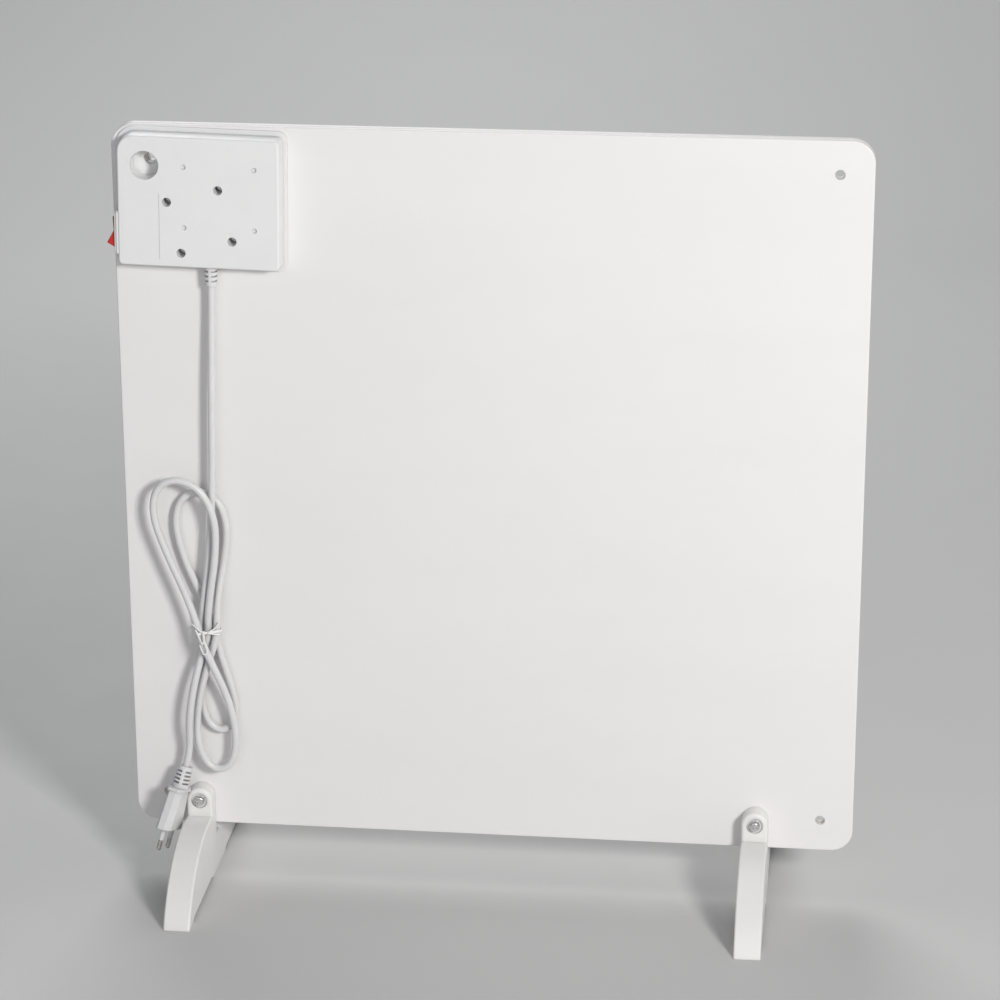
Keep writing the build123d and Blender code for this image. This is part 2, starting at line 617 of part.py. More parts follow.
# Control box shell
with BuildPart() as control_box:
    with BuildSketch(BOX_PLANE):
        with BuildLine():
            FilletPolyline(
                *box_corners(FLANGE_WIDTH, FLANGE_HEIGHT),
                radius=[FLANGE_BIG_CORNER, FLANGE_CORNER, FLANGE_CORNER, FLANGE_CORNER],
                close=True,
            )
        make_face()
    extrude(amount=FLANGE_THICK)
    with BuildSketch(BOX_PLANE):
        with BuildLine():
            FilletPolyline(
                *box_corners(BOX_WIDTH, BOX_HEIGHT),
                radius=[BOX_BIG_CORNER, BOX_CORNER, BOX_CORNER, BOX_CORNER],
                close=True,
            )
        make_face()
    extrude(amount=BOX_DEPTH, taper=BOX_DRAFT)
    fillet(control_box.faces().sort_by(Axis.Y)[-1].edges(), BOX_EDGE_ROUND)
    with BuildSketch(SWITCH_PLANE):
        RectangleRounded(
            BEZEL_LENGTH + 2 * SWITCH_PAD_RIM, BEZEL_WIDTH + 2 * SWITCH_PAD_RIM, BEZEL_CORNER
        )
    extrude(amount=-2 * BOX_WALL)
    with BuildSketch(BOX_PLANE):
        with BuildLine():
            FilletPolyline(
                *box_corners(BOX_WIDTH - 2 * BOX_WALL, BOX_HEIGHT - 2 * BOX_WALL),
                radius=[BOX_BIG_CORNER - BOX_WALL] + [BOX_CORNER - BOX_WALL] * 3,
                close=True,
            )
        make_face()
    extrude(amount=BOX_CEILING, taper=BOX_DRAFT, mode=Mode.SUBTRACT)
    with BuildSketch(BOX_PLANE):
        with Locations(*BOX_SCREW_SPOTS):
            Circle(WELL_BORE / 2 + WELL_WALL)
        with Locations(BIG_WELL_CENTRE):
            Circle(BIG_WELL_BORE / 2 + BIG_WELL_WALL)
    extrude(amount=BOX_CEILING)
    with BuildSketch(BOX_PLANE.offset(BLOCK_SEAT_W)):
        with Locations(*BLOCK_EARS):
            Circle(BOSS_DIA / 2)
    extrude(amount=BOX_CEILING - BLOCK_SEAT_W)
    with BuildSketch(BOX_PLANE.offset(CLAMP_SEAT_W)):
        with Locations(*CLAMP_SPOTS):
            Circle(BOSS_DIA / 2)
    extrude(amount=BOX_CEILING - CLAMP_SEAT_W)
    with BuildSketch(BOX_PLANE.offset(CORD_W + CORD_DIA / 2 + CORD_GRIP_GAP)):
        with Locations((RELIEF_U, CLAMP_V)):
            Rectangle(CORD_DIA, CLAMP_WIDTH)
    extrude(amount=BOX_CEILING - (CORD_W + CORD_DIA / 2 + CORD_GRIP_GAP))
    with BuildSketch(BOX_PLANE.offset(WELL_FLOOR)):
        with Locations(*BOX_SCREW_SPOTS):
            Circle(WELL_BORE / 2)
    extrude(amount=BOX_DEPTH - WELL_FLOOR, mode=Mode.SUBTRACT)
    with BuildSketch(BOX_PLANE):
        with Locations(*BOX_SCREW_SPOTS):
            Circle(BOX_SCREW_DIA / 2 + SCREW_PLAY)
    extrude(amount=WELL_FLOOR, mode=Mode.SUBTRACT)
    with BuildSketch(BOX_PLANE.offset(BIG_WELL_FLOOR)):
        with Locations(BIG_WELL_CENTRE):
            Circle(BIG_WELL_BORE / 2)
    extrude(amount=BOX_DEPTH - BIG_WELL_FLOOR, mode=Mode.SUBTRACT)
    with BuildSketch(BOX_PLANE):
        with Locations(box_local(WELL_HOLE_X, WELL_HOLE_Z)):
            Circle(BIG_WELL_EYE / 2)
    extrude(amount=BIG_WELL_FLOOR, mode=Mode.SUBTRACT)
    with BuildSketch(BOX_PLANE.offset(BOX_DEPTH - DIMPLE_DEPTH)):
        with Locations(DIMPLE_CENTRE):
            with GridLocations(DIMPLE_PITCH_U, DIMPLE_PITCH_V, 2, 2):
                Circle(DIMPLE_DIA / 2)
    extrude(amount=DIMPLE_DEPTH, mode=Mode.SUBTRACT)
    with BuildSketch(BOX_PLANE.offset(BLOCK_SEAT_W)):
        with Locations(*BLOCK_EARS):
            Circle(BLOCK_SCREW_DIA / 2)
    extrude(amount=BLOCK_SCREW_LENGTH, mode=Mode.SUBTRACT)
    with BuildSketch(BOX_PLANE.offset(CLAMP_SEAT_W)):
        with Locations(*CLAMP_SPOTS):
            Circle(BLOCK_SCREW_DIA / 2)
    extrude(amount=BLOCK_SCREW_LENGTH, mode=Mode.SUBTRACT)
    with BuildSketch(SWITCH_PLANE):
        Rectangle(
            SWITCH_BODY_LENGTH + 2 * SWITCH_HOLE_PLAY, SWITCH_BODY_WIDTH + 2 * SWITCH_HOLE_PLAY
        )
    extrude(amount=-4 * BOX_WALL, mode=Mode.SUBTRACT)
    with BuildSketch(RELIEF_PLANE.offset(-2 * BOX_WALL)):
        Circle(RELIEF_TOP_DIA / 2)
    extrude(amount=4 * BOX_WALL, mode=Mode.SUBTRACT)
keep("control_box", control_box)

# Screws of the control box
with BuildPart() as box_screws:
    with BuildSketch(BOX_PLANE.offset(WELL_FLOOR)):
        with Locations(*BOX_SCREW_SPOTS):
            Circle(BOX_HEAD_DIA / 2)
    extrude(amount=BOX_HEAD_THICK)
    with BuildSketch(BOX_PLANE.offset(WELL_FLOOR)):
        with Locations(*BOX_SCREW_SPOTS):
            Circle(BOX_SCREW_DIA / 2)
    extrude(amount=-(WELL_FLOOR + BOX_INSERT_LENGTH - 1))
    with BuildSketch(BOX_PLANE.offset(WELL_FLOOR + BOX_HEAD_THICK)):
        with Locations(*BOX_SCREW_SPOTS):
            Rectangle(BOX_HEAD_DIA * 0.6, 0.9)
            Rectangle(0.9, BOX_HEAD_DIA * 0.6)
    extrude(amount=-BOX_HEAD_THICK / 2, mode=Mode.SUBTRACT)
keep("box_screws", box_screws)

# Terminal block, seated by its two ears on bosses of the box
with BuildPart() as terminal_block:
    with BuildSketch(BOX_PLANE.offset(BLOCK_LIFT)):
        with Locations((BLOCK_U, BLOCK_V)):
            Rectangle(BLOCK_LENGTH, BLOCK_HEIGHT)
    extrude(amount=BLOCK_THICK)
    with BuildSketch(BOX_PLANE.offset(BLOCK_LIFT)):
        with Locations(*BLOCK_EARS):
            Rectangle(BLOCK_EAR, BOSS_DIA)
    extrude(amount=BLOCK_EAR_THICK)
    with BuildSketch(BOX_PLANE.offset(BLOCK_LIFT)):
        with Locations(*BLOCK_EARS):
            Circle(BLOCK_SCREW_DIA / 2)
    extrude(amount=BLOCK_EAR_THICK, mode=Mode.SUBTRACT)
    with BuildSketch(BLOCK_END):
        with Locations(*[(u - BLOCK_U, 0) for u in POLE_SPOTS]):
            Rectangle(CLAMP_SIDE, CLAMP_SIDE)
    extrude(amount=-BLOCK_HEIGHT, mode=Mode.SUBTRACT)
    with BuildSketch(BOX_PLANE.offset(BLOCK_LIFT)):
        with Locations(*CLAMP_SCREW_SPOTS):
            Circle(CLAMP_SCREW_DIA / 2 + SCREW_PLAY)
    extrude(amount=BLOCK_THICK / 2 - CLAMP_SIDE / 2, mode=Mode.SUBTRACT)
keep("terminal_block", terminal_block)

with BuildPart() as terminal_clamps:
    with BuildSketch(BLOCK_END.offset(-CLAMP_SET_BACK)):
        with Locations(*[(u - BLOCK_U, 0) for u in POLE_SPOTS]):
            Rectangle(CLAMP_SIDE, CLAMP_SIDE)
            Circle(CLAMP_BORE / 2, mode=Mode.SUBTRACT)
    extrude(amount=-(BLOCK_HEIGHT - 2 * CLAMP_SET_BACK))
    with BuildSketch(BOX_PLANE.offset(BLOCK_LIFT)):
        with Locations(*CLAMP_SCREW_SPOTS):
            Circle(CLAMP_SCREW_DIA / 2)
    extrude(amount=BLOCK_THICK / 2, mode=Mode.SUBTRACT)
keep("terminal_clamps", terminal_clamps)

with BuildPart() as terminal_screws:
    with BuildSketch(BOX_PLANE.offset(BLOCK_LIFT + 0.5)):
        with Locations(*CLAMP_SCREW_SPOTS):
            Circle(CLAMP_SCREW_DIA / 2)
    extrude(amount=BLOCK_THICK / 2 - CLAMP_BORE / 2 - 0.5)
    with BuildSketch(BOX_PLANE.offset(BLOCK_LIFT + 0.5)):
        with Locations(*CLAMP_SCREW_SPOTS):
            Rectangle(CLAMP_SCREW_DIA * 0.8, 0.5)
    extrude(amount=0.8, mode=Mode.SUBTRACT)
keep("terminal_screws", terminal_screws)

with BuildPart() as block_screws:
    with BuildSketch(BOX_PLANE.offset(BLOCK_LIFT - BLOCK_HEAD_THICK)):
        with Locations(*BLOCK_EARS):
            Circle(BLOCK_SCREW_HEAD / 2)
    extrude(amount=BLOCK_HEAD_THICK)
    with BuildSketch(BOX_PLANE.offset(BLOCK_LIFT)):
        with Locations(*BLOCK_EARS):
            Circle(BLOCK_SCREW_DIA / 2)
    extrude(amount=BLOCK_EAR_THICK + BLOCK_SCREW_LENGTH - 1)
keep("block_screws", block_screws)

# Bar that holds the cord, and its screws
with BuildPart() as cord_clamp:
    with BuildSketch(BOX_PLANE.offset(CLAMP_SEAT_W)):
        with Locations((RELIEF_U, CLAMP_V)):
            SlotOverall(CLAMP_LENGTH, CLAMP_WIDTH)
        with Locations(*CLAMP_SPOTS):
            Circle(BLOCK_SCREW_DIA / 2, mode=Mode.SUBTRACT)
    extrude(amount=-CLAMP_THICK)
keep("cord_clamp", cord_clamp)

with BuildPart() as clamp_screws:
    with BuildSketch(BOX_PLANE.offset(CLAMP_SEAT_W - CLAMP_THICK)):
        with Locations(*CLAMP_SPOTS):
            Circle(BLOCK_SCREW_HEAD / 2)
    extrude(amount=-BLOCK_HEAD_THICK)
    with BuildSketch(BOX_PLANE.offset(CLAMP_SEAT_W - CLAMP_THICK)):
        with Locations(*CLAMP_SPOTS):
            Circle(BLOCK_SCREW_DIA / 2)
    extrude(amount=CLAMP_THICK + BLOCK_SCREW_LENGTH - 1)
keep("clamp_screws", clamp_screws)

# Thermal cutout on the back plate, its tabs and the leaf spring that presses it down
with BuildPart() as thermal_cutout:
    with BuildSketch(BOX_PLANE):
        with Locations(CUTOUT_CENTRE):
            Circle(CUTOUT_DIA / 2)
    extrude(amount=CUTOUT_THICK)
    fillet(thermal_cutout.faces().sort_by(Axis.Y)[-1].edges(), 0.8)
keep("thermal_cutout", thermal_cutout)

CUTOUT_TAB_W = CUTOUT_THICK / 2
CUTOUT_TAB_REACH = CUTOUT_DIA / 2 + CUTOUT_TAB_LENGTH
with BuildPart() as cutout_tabs:
    with BuildSketch(BOX_PLANE.offset(CUTOUT_TAB_W - CUTOUT_TAB_THICK / 2)):
        with Locations(CUTOUT_CENTRE):
            Rectangle(CUTOUT_TAB_WIDTH, 2 * CUTOUT_TAB_REACH)
            Circle(CUTOUT_DIA / 2, mode=Mode.SUBTRACT)
    extrude(amount=CUTOUT_TAB_THICK)
keep("cutout_tabs", cutout_tabs)

SPRING_PLANE = Plane(
    origin=box_point(CUTOUT_CENTRE[0], CUTOUT_CENTRE[1], 0),
    x_dir=BOX_RIGHT,
    z_dir=(TURN_SIN, 0, -TURN_COS),
)
with BuildPart() as cutout_spring:
    with BuildSketch(SPRING_PLANE):
        with BuildLine():
            Polyline(
                (-SPRING_PAD / 2, CUTOUT_THICK),
                (SPRING_PAD / 2, CUTOUT_THICK),
                (SPRING_PAD / 2 + SPRING_RISE_RUN, BOX_CEILING - SPRING_THICK),
                (SPRING_PAD / 2 + SPRING_RISE_RUN + SPRING_PAD, BOX_CEILING - SPRING_THICK),
                (SPRING_PAD / 2 + SPRING_RISE_RUN + SPRING_PAD, BOX_CEILING),
                (SPRING_PAD / 2 + SPRING_RISE_RUN - SPRING_THICK / 2, BOX_CEILING),
                (SPRING_PAD / 2 - SPRING_THICK / 2, CUTOUT_THICK + SPRING_THICK),
                (-SPRING_PAD / 2, CUTOUT_THICK + SPRING_THICK),
                close=True,
            )
        make_face()
    extrude(amount=SPRING_WIDTH / 2, both=True)
keep("cutout_spring", cutout_spring)


def box_route(*points):
    """Route given in the box's own plane, as points of the part's frame."""
    return [box_point(*p) for p in points]


# Leads from the ribbon up to the terminal block
LEAD_START_W = RIBBON_THICK - PANEL_BACK
WIRE_TIP_V = BLOCK_V + BLOCK_HEIGHT / 2 - WIRE_GRIP
with BuildPart() as lead_wires:
    for (lead_u, lead_v), pole_u in zip(LEAD_SPOTS, [POLE_SPOTS[1], POLE_SPOTS[0]]):
        with BuildLine() as route:
            FilletPolyline(
                *box_route(
                    (lead_u, lead_v, LEAD_START_W),
                    (lead_u, lead_v, BLOCK_MID_W),
                    (pole_u, WIRE_ENTRY_V, BLOCK_MID_W),
                    (pole_u, WIRE_TIP_V, BLOCK_MID_W),
                ),
                radius=[WIRE_BEND, WIRE_BEND / 2],
            )
        with BuildSketch(Plane(origin=route.line @ 0, z_dir=route.line % 0)):
            Circle(LEAD_DIA / 2)
        sweep(path=route.line)
keep("lead_wires", lead_wires)

# Wires from the block to the cutout, from the cutout to the switch, and back to the block
CUTOUT_LOW_V = CUTOUT_CENTRE[1] - CUTOUT_TAB_REACH
CUTOUT_HIGH_V = CUTOUT_CENTRE[1] + CUTOUT_TAB_REACH
BLADE_END_U = SWITCH_SEAT_U + SWITCH_BODY_DEPTH + BLADE_LENGTH
CUTOUT_WIRE_RUN = 8.0
WIRE_TOP_V = 42.0
WIRE_FALL_U = -17.2
WIRE_FALL_V = -8.0
WIRE_FALL_W = 8.0
WIRE_CROSS_U = 26.0
WIRE_CROSS_V = -4.0
WIRE_CROSS_DROP = 2.0
WIRE_CROSS_W = 7.0
SWITCH_WIRE_ROUTES = [
    [
        (POLE_SPOTS[2], WIRE_TIP_V, BLOCK_MID_W),
        (POLE_SPOTS[2], WIRE_CROSS_V, BLOCK_MID_W),
        (WIRE_CROSS_U, WIRE_CROSS_V - WIRE_CROSS_DROP, WIRE_CROSS_W),
        (CUTOUT_CENTRE[0], CUTOUT_LOW_V - CUTOUT_WIRE_RUN, CUTOUT_TAB_W),
        (CUTOUT_CENTRE[0], CUTOUT_LOW_V, CUTOUT_TAB_W),
    ],
    [
        (CUTOUT_CENTRE[0], CUTOUT_HIGH_V, CUTOUT_TAB_W),
        (CUTOUT_CENTRE[0], WIRE_TOP_V, CUTOUT_TAB_W),
        (WIRE_FALL_U, WIRE_TOP_V, CUTOUT_TAB_W),
        (WIRE_FALL_U, WIRE_FALL_V, WIRE_FALL_W),
        (-28.0, SWITCH_V + BLADE_PITCH, SWITCH_W),
        (BLADE_END_U, SWITCH_V + BLADE_PITCH, SWITCH_W),
    ],
    [
        (BLADE_END_U, SWITCH_V, SWITCH_W),
        (-32.0, SWITCH_V, SWITCH_W),
        (-12.0, -31.0, BLOCK_MID_W),
        (POLE_SPOTS[0], -30.0, BLOCK_MID_W),
        (POLE_SPOTS[0], BLOCK_V - BLOCK_HEIGHT / 2 + WIRE_GRIP, BLOCK_MID_W),
    ],
]
with BuildPart() as switch_wires:
    for wire_points in SWITCH_WIRE_ROUTES:
        wire_path = box_route(*wire_points)
        with BuildLine() as route:
            FilletPolyline(*wire_path, radius=[WIRE_BEND] * (len(wire_path) - 2))
        with BuildSketch(Plane(origin=route.line @ 0, z_dir=route.line % 0)):
            Circle(LEAD_DIA / 2)
        sweep(path=route.line)
keep("switch_wires", switch_wires)

# The cord's two cores, from the end of its sheath to the block
with BuildPart() as cord_cores:
    for side, pole_u in ((-1, POLE_SPOTS[1]), (1, POLE_SPOTS[2])):
        core_u = RELIEF_U + side * CORE_PITCH / 2
        with BuildLine() as route:
            FilletPolyline(
                *box_route(
                    (core_u, SHEATH_END_V, CORD_W),
                    (core_u, SHEATH_END_V + CORE_STRAIGHT, CORD_W),
                    (pole_u, BLOCK_V - BLOCK_HEIGHT / 2 - CORE_STRAIGHT, BLOCK_MID_W),
                    (pole_u, BLOCK_V - BLOCK_HEIGHT / 2 + WIRE_GRIP, BLOCK_MID_W),
                ),
                radius=[WIRE_BEND, WIRE_BEND],
            )
        with BuildSketch(Plane(origin=route.line @ 0, z_dir=route.line % 0)):
            Circle(CORE_DIA / 2)
        sweep(path=route.line)
keep("cord_cores", cord_cores)

# Slotted strain relief under the box
with BuildPart() as strain_relief:
    with BuildSketch(RELIEF_PLANE.offset(-RELIEF_COLLAR_DEPTH)):
        Circle(RELIEF_COLLAR_DIA / 2)
    extrude(amount=RELIEF_COLLAR)
    with BuildSketch(RELIEF_PLANE.offset(-RELIEF_COLLAR_DEPTH)):
        Circle(RELIEF_TOP_DIA / 2)
    extrude(amount=RELIEF_COLLAR_DEPTH)
    with BuildSketch(RELIEF_PLANE):
        Circle(RELIEF_TOP_DIA / 2)
    with BuildSketch(RELIEF_PLANE.offset(RELIEF_LENGTH)):
        Circle(RELIEF_END_DIA / 2)
    loft()
    for row in range(RELIEF_SLOTS):
        with BuildSketch(RELIEF_PLANE.offset(RELIEF_FIRST_SLOT + row * RELIEF_SLOT_PITCH)):
            Circle(RELIEF_TOP_DIA)
            Rectangle(RELIEF_SPINE, 3 * RELIEF_TOP_DIA, mode=Mode.SUBTRACT)
            Circle(CORD_DIA / 2 + RELIEF_SLOT_FLOOR, mode=Mode.SUBTRACT)
        extrude(amount=RELIEF_SLOT, mode=Mode.SUBTRACT)
    with BuildSketch(RELIEF_PLANE.offset(-RELIEF_COLLAR_DEPTH)):
        Circle(CORD_DIA / 2 + RELIEF_PLAY)
    extrude(amount=RELIEF_COLLAR_DEPTH + RELIEF_LENGTH, mode=Mode.SUBTRACT)
keep("strain_relief", strain_relief)

# Rocker switch: bezel and body
PIVOT_PLANE = Plane(
    origin=SWITCH_PLANE.from_local_coords(Vector(0, 0, -ROCKER_PIVOT_IN)),
    x_dir=BOX_UP,
    z_dir=(0, 1, 0),
)
SWITCH_OUT_DIR = Vector(TURN_COS, 0, TURN_SIN)


def tilted_plane(out, angle):
    """Plane across the switch at a distance out from the pivot, turned about the Y axis."""
    turn = math.radians(angle)
    along = Vector(*BOX_UP) * math.cos(turn) + SWITCH_OUT_DIR * math.sin(turn)
    return Plane(
        origin=PIVOT_PLANE.from_local_coords(Vector(0, out, 0)), x_dir=along, z_dir=(0, 1, 0)
    )


SWITCH_OUT = Axis((0, 0, 0), (TURN_COS, 0, TURN_SIN))
SWITCH_FLOOR = SWITCH_BODY_DEPTH - SWITCH_FLOOR_THICK
LEVER_TOP = PLUNGER_REACH + LEVER_GAP
LEVER_PIVOT = LEVER_TOP + LEVER_THICK
LEVER_TILT = LEVER_RATIO * ROCKER_TILT
FULCRUM_TOP = LEVER_PIVOT + FULCRUM_GAP
CONTACT_TOP = LEVER_PIVOT + LEVER_HALF * math.sin(math.radians(LEVER_TILT)) + CONTACT_GAP
with BuildPart() as switch_housing:
    with BuildSketch(SWITCH_PLANE):
        RectangleRounded(BEZEL_LENGTH, BEZEL_WIDTH, BEZEL_CORNER)
    extrude(amount=BEZEL_THICK)
    fillet(switch_housing.faces().sort_by(SWITCH_OUT)[-1].edges(), BEZEL_EDGE_ROUND)
    with BuildSketch(SWITCH_PLANE):
        Rectangle(SWITCH_BODY_LENGTH, SWITCH_BODY_WIDTH)
    extrude(amount=-SWITCH_BODY_DEPTH)
    with BuildSketch(SWITCH_PLANE.offset(BEZEL_THICK)):
        Rectangle(SWITCH_WINDOW_LENGTH, SWITCH_WINDOW_WIDTH)
    extrude(amount=-(BEZEL_THICK + SWITCH_FLOOR), mode=Mode.SUBTRACT)
    with BuildSketch(PIVOT_PLANE):
        Circle(ROCKER_PIN_DIA / 2 + PIN_PLAY)
    extrude(amount=SWITCH_BODY_WIDTH / 2, both=True, mode=Mode.SUBTRACT)
    with BuildSketch(SWITCH_PLANE.offset(-SWITCH_FLOOR)):
        with GridLocations(BLADE_PITCH, BLADE_PITCH, 3, 1):
            Rectangle(BLADE_THICK, BLADE_WIDTH)
    extrude(amount=-SWITCH_FLOOR_THICK, mode=Mode.SUBTRACT)
keep("switch_housing", switch_housing)

# Rocker, at rest with its lower end out
ROCKER_PLANE = tilted_plane(0, -ROCKER_TILT)
with BuildPart() as switch_rocker:
    with BuildSketch(ROCKER_PLANE):
        with BuildLine():
            FilletPolyline(
                (0, ROCKER_VALLEY),
                (ROCKER_APEX_OUT, ROCKER_APEX_RISE),
                (ROCKER_LENGTH / 2, ROCKER_SKIRT),
                (ROCKER_BELLY_HALF, -ROCKER_BELLY),
                (-ROCKER_BELLY_HALF, -ROCKER_BELLY),
                (-ROCKER_LENGTH / 2, ROCKER_SKIRT),
                (-ROCKER_APEX_OUT, ROCKER_APEX_RISE),
                radius=[ROCKER_VALLEY_ROUND] + [ROCKER_EDGE_ROUND] * 6,
                close=True,
            )
        make_face()
    extrude(amount=ROCKER_WIDTH / 2, both=True)
    with BuildSketch(PIVOT_PLANE):
        Circle(ROCKER_PIN_DIA / 2)
    extrude(amount=ROCKER_WIDTH / 2 + ROCKER_PLAY + SWITCH_BODY_WALL - PIN_PLAY, both=True)
    with BuildSketch(Plane(
        origin=ROCKER_PLANE.from_local_coords(Vector(0, -PLUNGER_IN, 0)),
        z_dir=-ROCKER_PLANE.y_dir,
    )):
        Circle(PLUNGER_DIA / 2)
    extrude(amount=ROCKER_BELLY, mode=Mode.SUBTRACT)
keep("switch_rocker", switch_rocker)

with BuildPart() as rocker_plunger:
    with BuildSketch(Plane(
        origin=ROCKER_PLANE.from_local_coords(Vector(0, -PLUNGER_IN, 0)),
        z_dir=-ROCKER_PLANE.y_dir,
    )):
        Circle(PLUNGER_DIA / 2)
    extrude(amount=PLUNGER_REACH - PLUNGER_IN)
    plunger_tip = rocker_plunger.faces().sort_by(SWITCH_OUT)[0]
    fillet(plunger_tip.edges(), PLUNGER_TIP_ROUND)
keep("rocker_plunger", rocker_plunger)

# See-saw contact under the plunger, and the fixed contacts
LEVER_PLANE = tilted_plane(-LEVER_PIVOT, LEVER_TILT)
with BuildPart() as contact_lever:
    with BuildSketch(LEVER_PLANE):
        with Locations((0, LEVER_THICK / 2)):
            Rectangle(2 * LEVER_HALF, LEVER_THICK)
    extrude(amount=LEVER_WIDTH / 2, both=True)
keep("contact_lever", contact_lever)

BLADE_DROP = SWITCH_BODY_DEPTH + BLADE_LENGTH - ROCKER_PIVOT_IN
with BuildPart() as switch_fulcrum:
    with BuildSketch(PIVOT_PLANE):
        with Locations((0, -(FULCRUM_TOP + FULCRUM_DIA / 2))):
            Circle(FULCRUM_DIA / 2)
        with Locations((0, -(FULCRUM_TOP + FULCRUM_DIA / 2 + BLADE_DROP) / 2)):
            Rectangle(BLADE_THICK, BLADE_DROP - FULCRUM_TOP - FULCRUM_DIA / 2)
    extrude(amount=BLADE_WIDTH / 2, both=True)
keep("switch_fulcrum", switch_fulcrum)

with BuildPart() as switch_terminals:
    with BuildSketch(PIVOT_PLANE):
        with GridLocations(2 * BLADE_PITCH, BLADE_PITCH, 2, 1):
            with Locations((0, -(CONTACT_TOP + BLADE_DROP) / 2)):
                Rectangle(BLADE_THICK, BLADE_DROP - CONTACT_TOP)
            with Locations((0, -(CONTACT_TOP + BLADE_THICK / 2))):
                Rectangle(CONTACT_PAD, BLADE_THICK)
    extrude(amount=BLADE_WIDTH / 2, both=True)
keep("switch_terminals", switch_terminals)

# Feet, with a slot for the panel and a tab up its back
FOOT_TAB_FACE = PANEL_BACK + TAB_THICK
# The end arc runs on below the floor while its edges are bevelled, and is cut off level after
FOOT_ARC_RADIUS = ((FOOT_REACH - FOOT_FLAT_END) ** 2 + FOOT_STRIP_TOP**2) / (2 * FOOT_STRIP_TOP)
FOOT_BELOW = 5.0
FOOT_LOW_REACH = FOOT_FLAT_END + math.sqrt(
    FOOT_ARC_RADIUS**2 - (FOOT_ARC_RADIUS - FOOT_STRIP_TOP - FOOT_BELOW) ** 2
)
for foot_name, foot_x in FEET.items():
    with BuildPart() as foot:
        with BuildSketch(Plane.YZ.offset(foot_x - FOOT_WIDTH / 2)):
            with BuildLine():
                Line((-FOOT_LOW_REACH, -FOOT_BELOW), (FOOT_LOW_REACH, -FOOT_BELOW))
                TangentArc(
                    (FOOT_FLAT_END, FOOT_STRIP_TOP), (FOOT_LOW_REACH, -FOOT_BELOW), tangent=(1, 0)
                )
                Line((FOOT_FLAT_END, FOOT_STRIP_TOP), (-FOOT_FLAT_END, FOOT_STRIP_TOP))
                TangentArc(
                    (-FOOT_FLAT_END, FOOT_STRIP_TOP), (-FOOT_LOW_REACH, -FOOT_BELOW), tangent=(-1, 0)
                )
            make_face()
        extrude(amount=FOOT_WIDTH)
        top_edges = foot.edges().filter_by(lambda e: e.center().Z > -FOOT_BELOW + 1)
        side_edges = top_edges.filter_by(
            lambda e: abs(abs(e.center().X - foot_x) - FOOT_WIDTH / 2) < 0.01
        )
        chamfer(side_edges, FOOT_EDGE_BEVEL)
        with BuildSketch(Plane.YZ.offset(foot_x - FOOT_WIDTH / 2)):
            with BuildLine():
                Polyline(
                    (-FOOT_LOW_REACH, 0),
                    (-ARCH_TO, 0),
                    (-ARCH_TO + ARCH_RAMP, ARCH_RISE),
                    (-ARCH_FROM - ARCH_RAMP, ARCH_RISE),
                    (-ARCH_FROM, 0),
                    (ARCH_FROM, 0),
                    (ARCH_FROM + ARCH_RAMP, ARCH_RISE),
                    (ARCH_TO - ARCH_RAMP, ARCH_RISE),
                    (ARCH_TO, 0),
                    (FOOT_LOW_REACH, 0),
                    (FOOT_LOW_REACH, -FOOT_BELOW),
                    (-FOOT_LOW_REACH, -FOOT_BELOW),
                    close=True,
                )
            make_face()
        extrude(amount=FOOT_WIDTH, mode=Mode.SUBTRACT)
        with BuildSketch(back_plane(PANEL_BACK)):
            with Locations(spot(foot_x, TAB_TOP - FOOT_WIDTH / 2)):
                Circle(FOOT_WIDTH / 2)
            with Locations(spot(foot_x, (TAB_TOP - FOOT_WIDTH / 2 + TAB_ROOT) / 2)):
                Rectangle(FOOT_WIDTH, TAB_TOP - FOOT_WIDTH / 2 - TAB_ROOT)
        extrude(amount=TAB_THICK)
        tab_face = foot.faces().filter_by(Axis.Y).sort_by(Axis.Y)[-1]
        tab_edges = tab_face.edges().filter_by(lambda e: e.center().Z > FOOT_STRIP_TOP + 1)
        fillet(tab_edges, TAB_EDGE_ROUND)
        with BuildSketch(Plane.YZ.offset(foot_x - FOOT_WIDTH / 2)):
            with Locations(((PANEL_FRONT - SLOT_PLAY + PANEL_BACK) / 2, (TAB_TOP + SLOT_FLOOR) / 2)):
                Rectangle(PANEL_THICK + SLOT_PLAY, TAB_TOP - SLOT_FLOOR)
        extrude(amount=FOOT_WIDTH, mode=Mode.SUBTRACT)
        with BuildSketch(back_plane(PANEL_BACK)):
            with Locations(spot(foot_x, FOOT_SCREW_HEIGHT)):
                Circle(FOOT_SCREW_DIA / 2 + SCREW_PLAY)
        extrude(amount=TAB_THICK, mode=Mode.SUBTRACT)
        with BuildSketch(back_plane(FOOT_TAB_FACE - FOOT_RECESS_DEPTH)):
            with Locations(spot(foot_x, FOOT_SCREW_HEIGHT)):
                Circle(FOOT_RECESS_DIA / 2)
        extrude(amount=FOOT_RECESS_DEPTH, mode=Mode.SUBTRACT)
    keep(foot_name, foot)

WASHER_SEAT = FOOT_TAB_FACE - FOOT_RECESS_DEPTH
HEAD_SEAT = WASHER_SEAT + WASHER_THICK
with BuildPart() as foot_washers:
    with BuildSketch(back_plane(WASHER_SEAT)):
        with Locations(*[spot(x, z) for x, z in FOOT_SCREWS]):
            Circle(WASHER_DIA / 2)
            Circle(FOOT_SCREW_DIA / 2, mode=Mode.SUBTRACT)
    extrude(amount=WASHER_THICK)
keep("foot_washers", foot_washers)

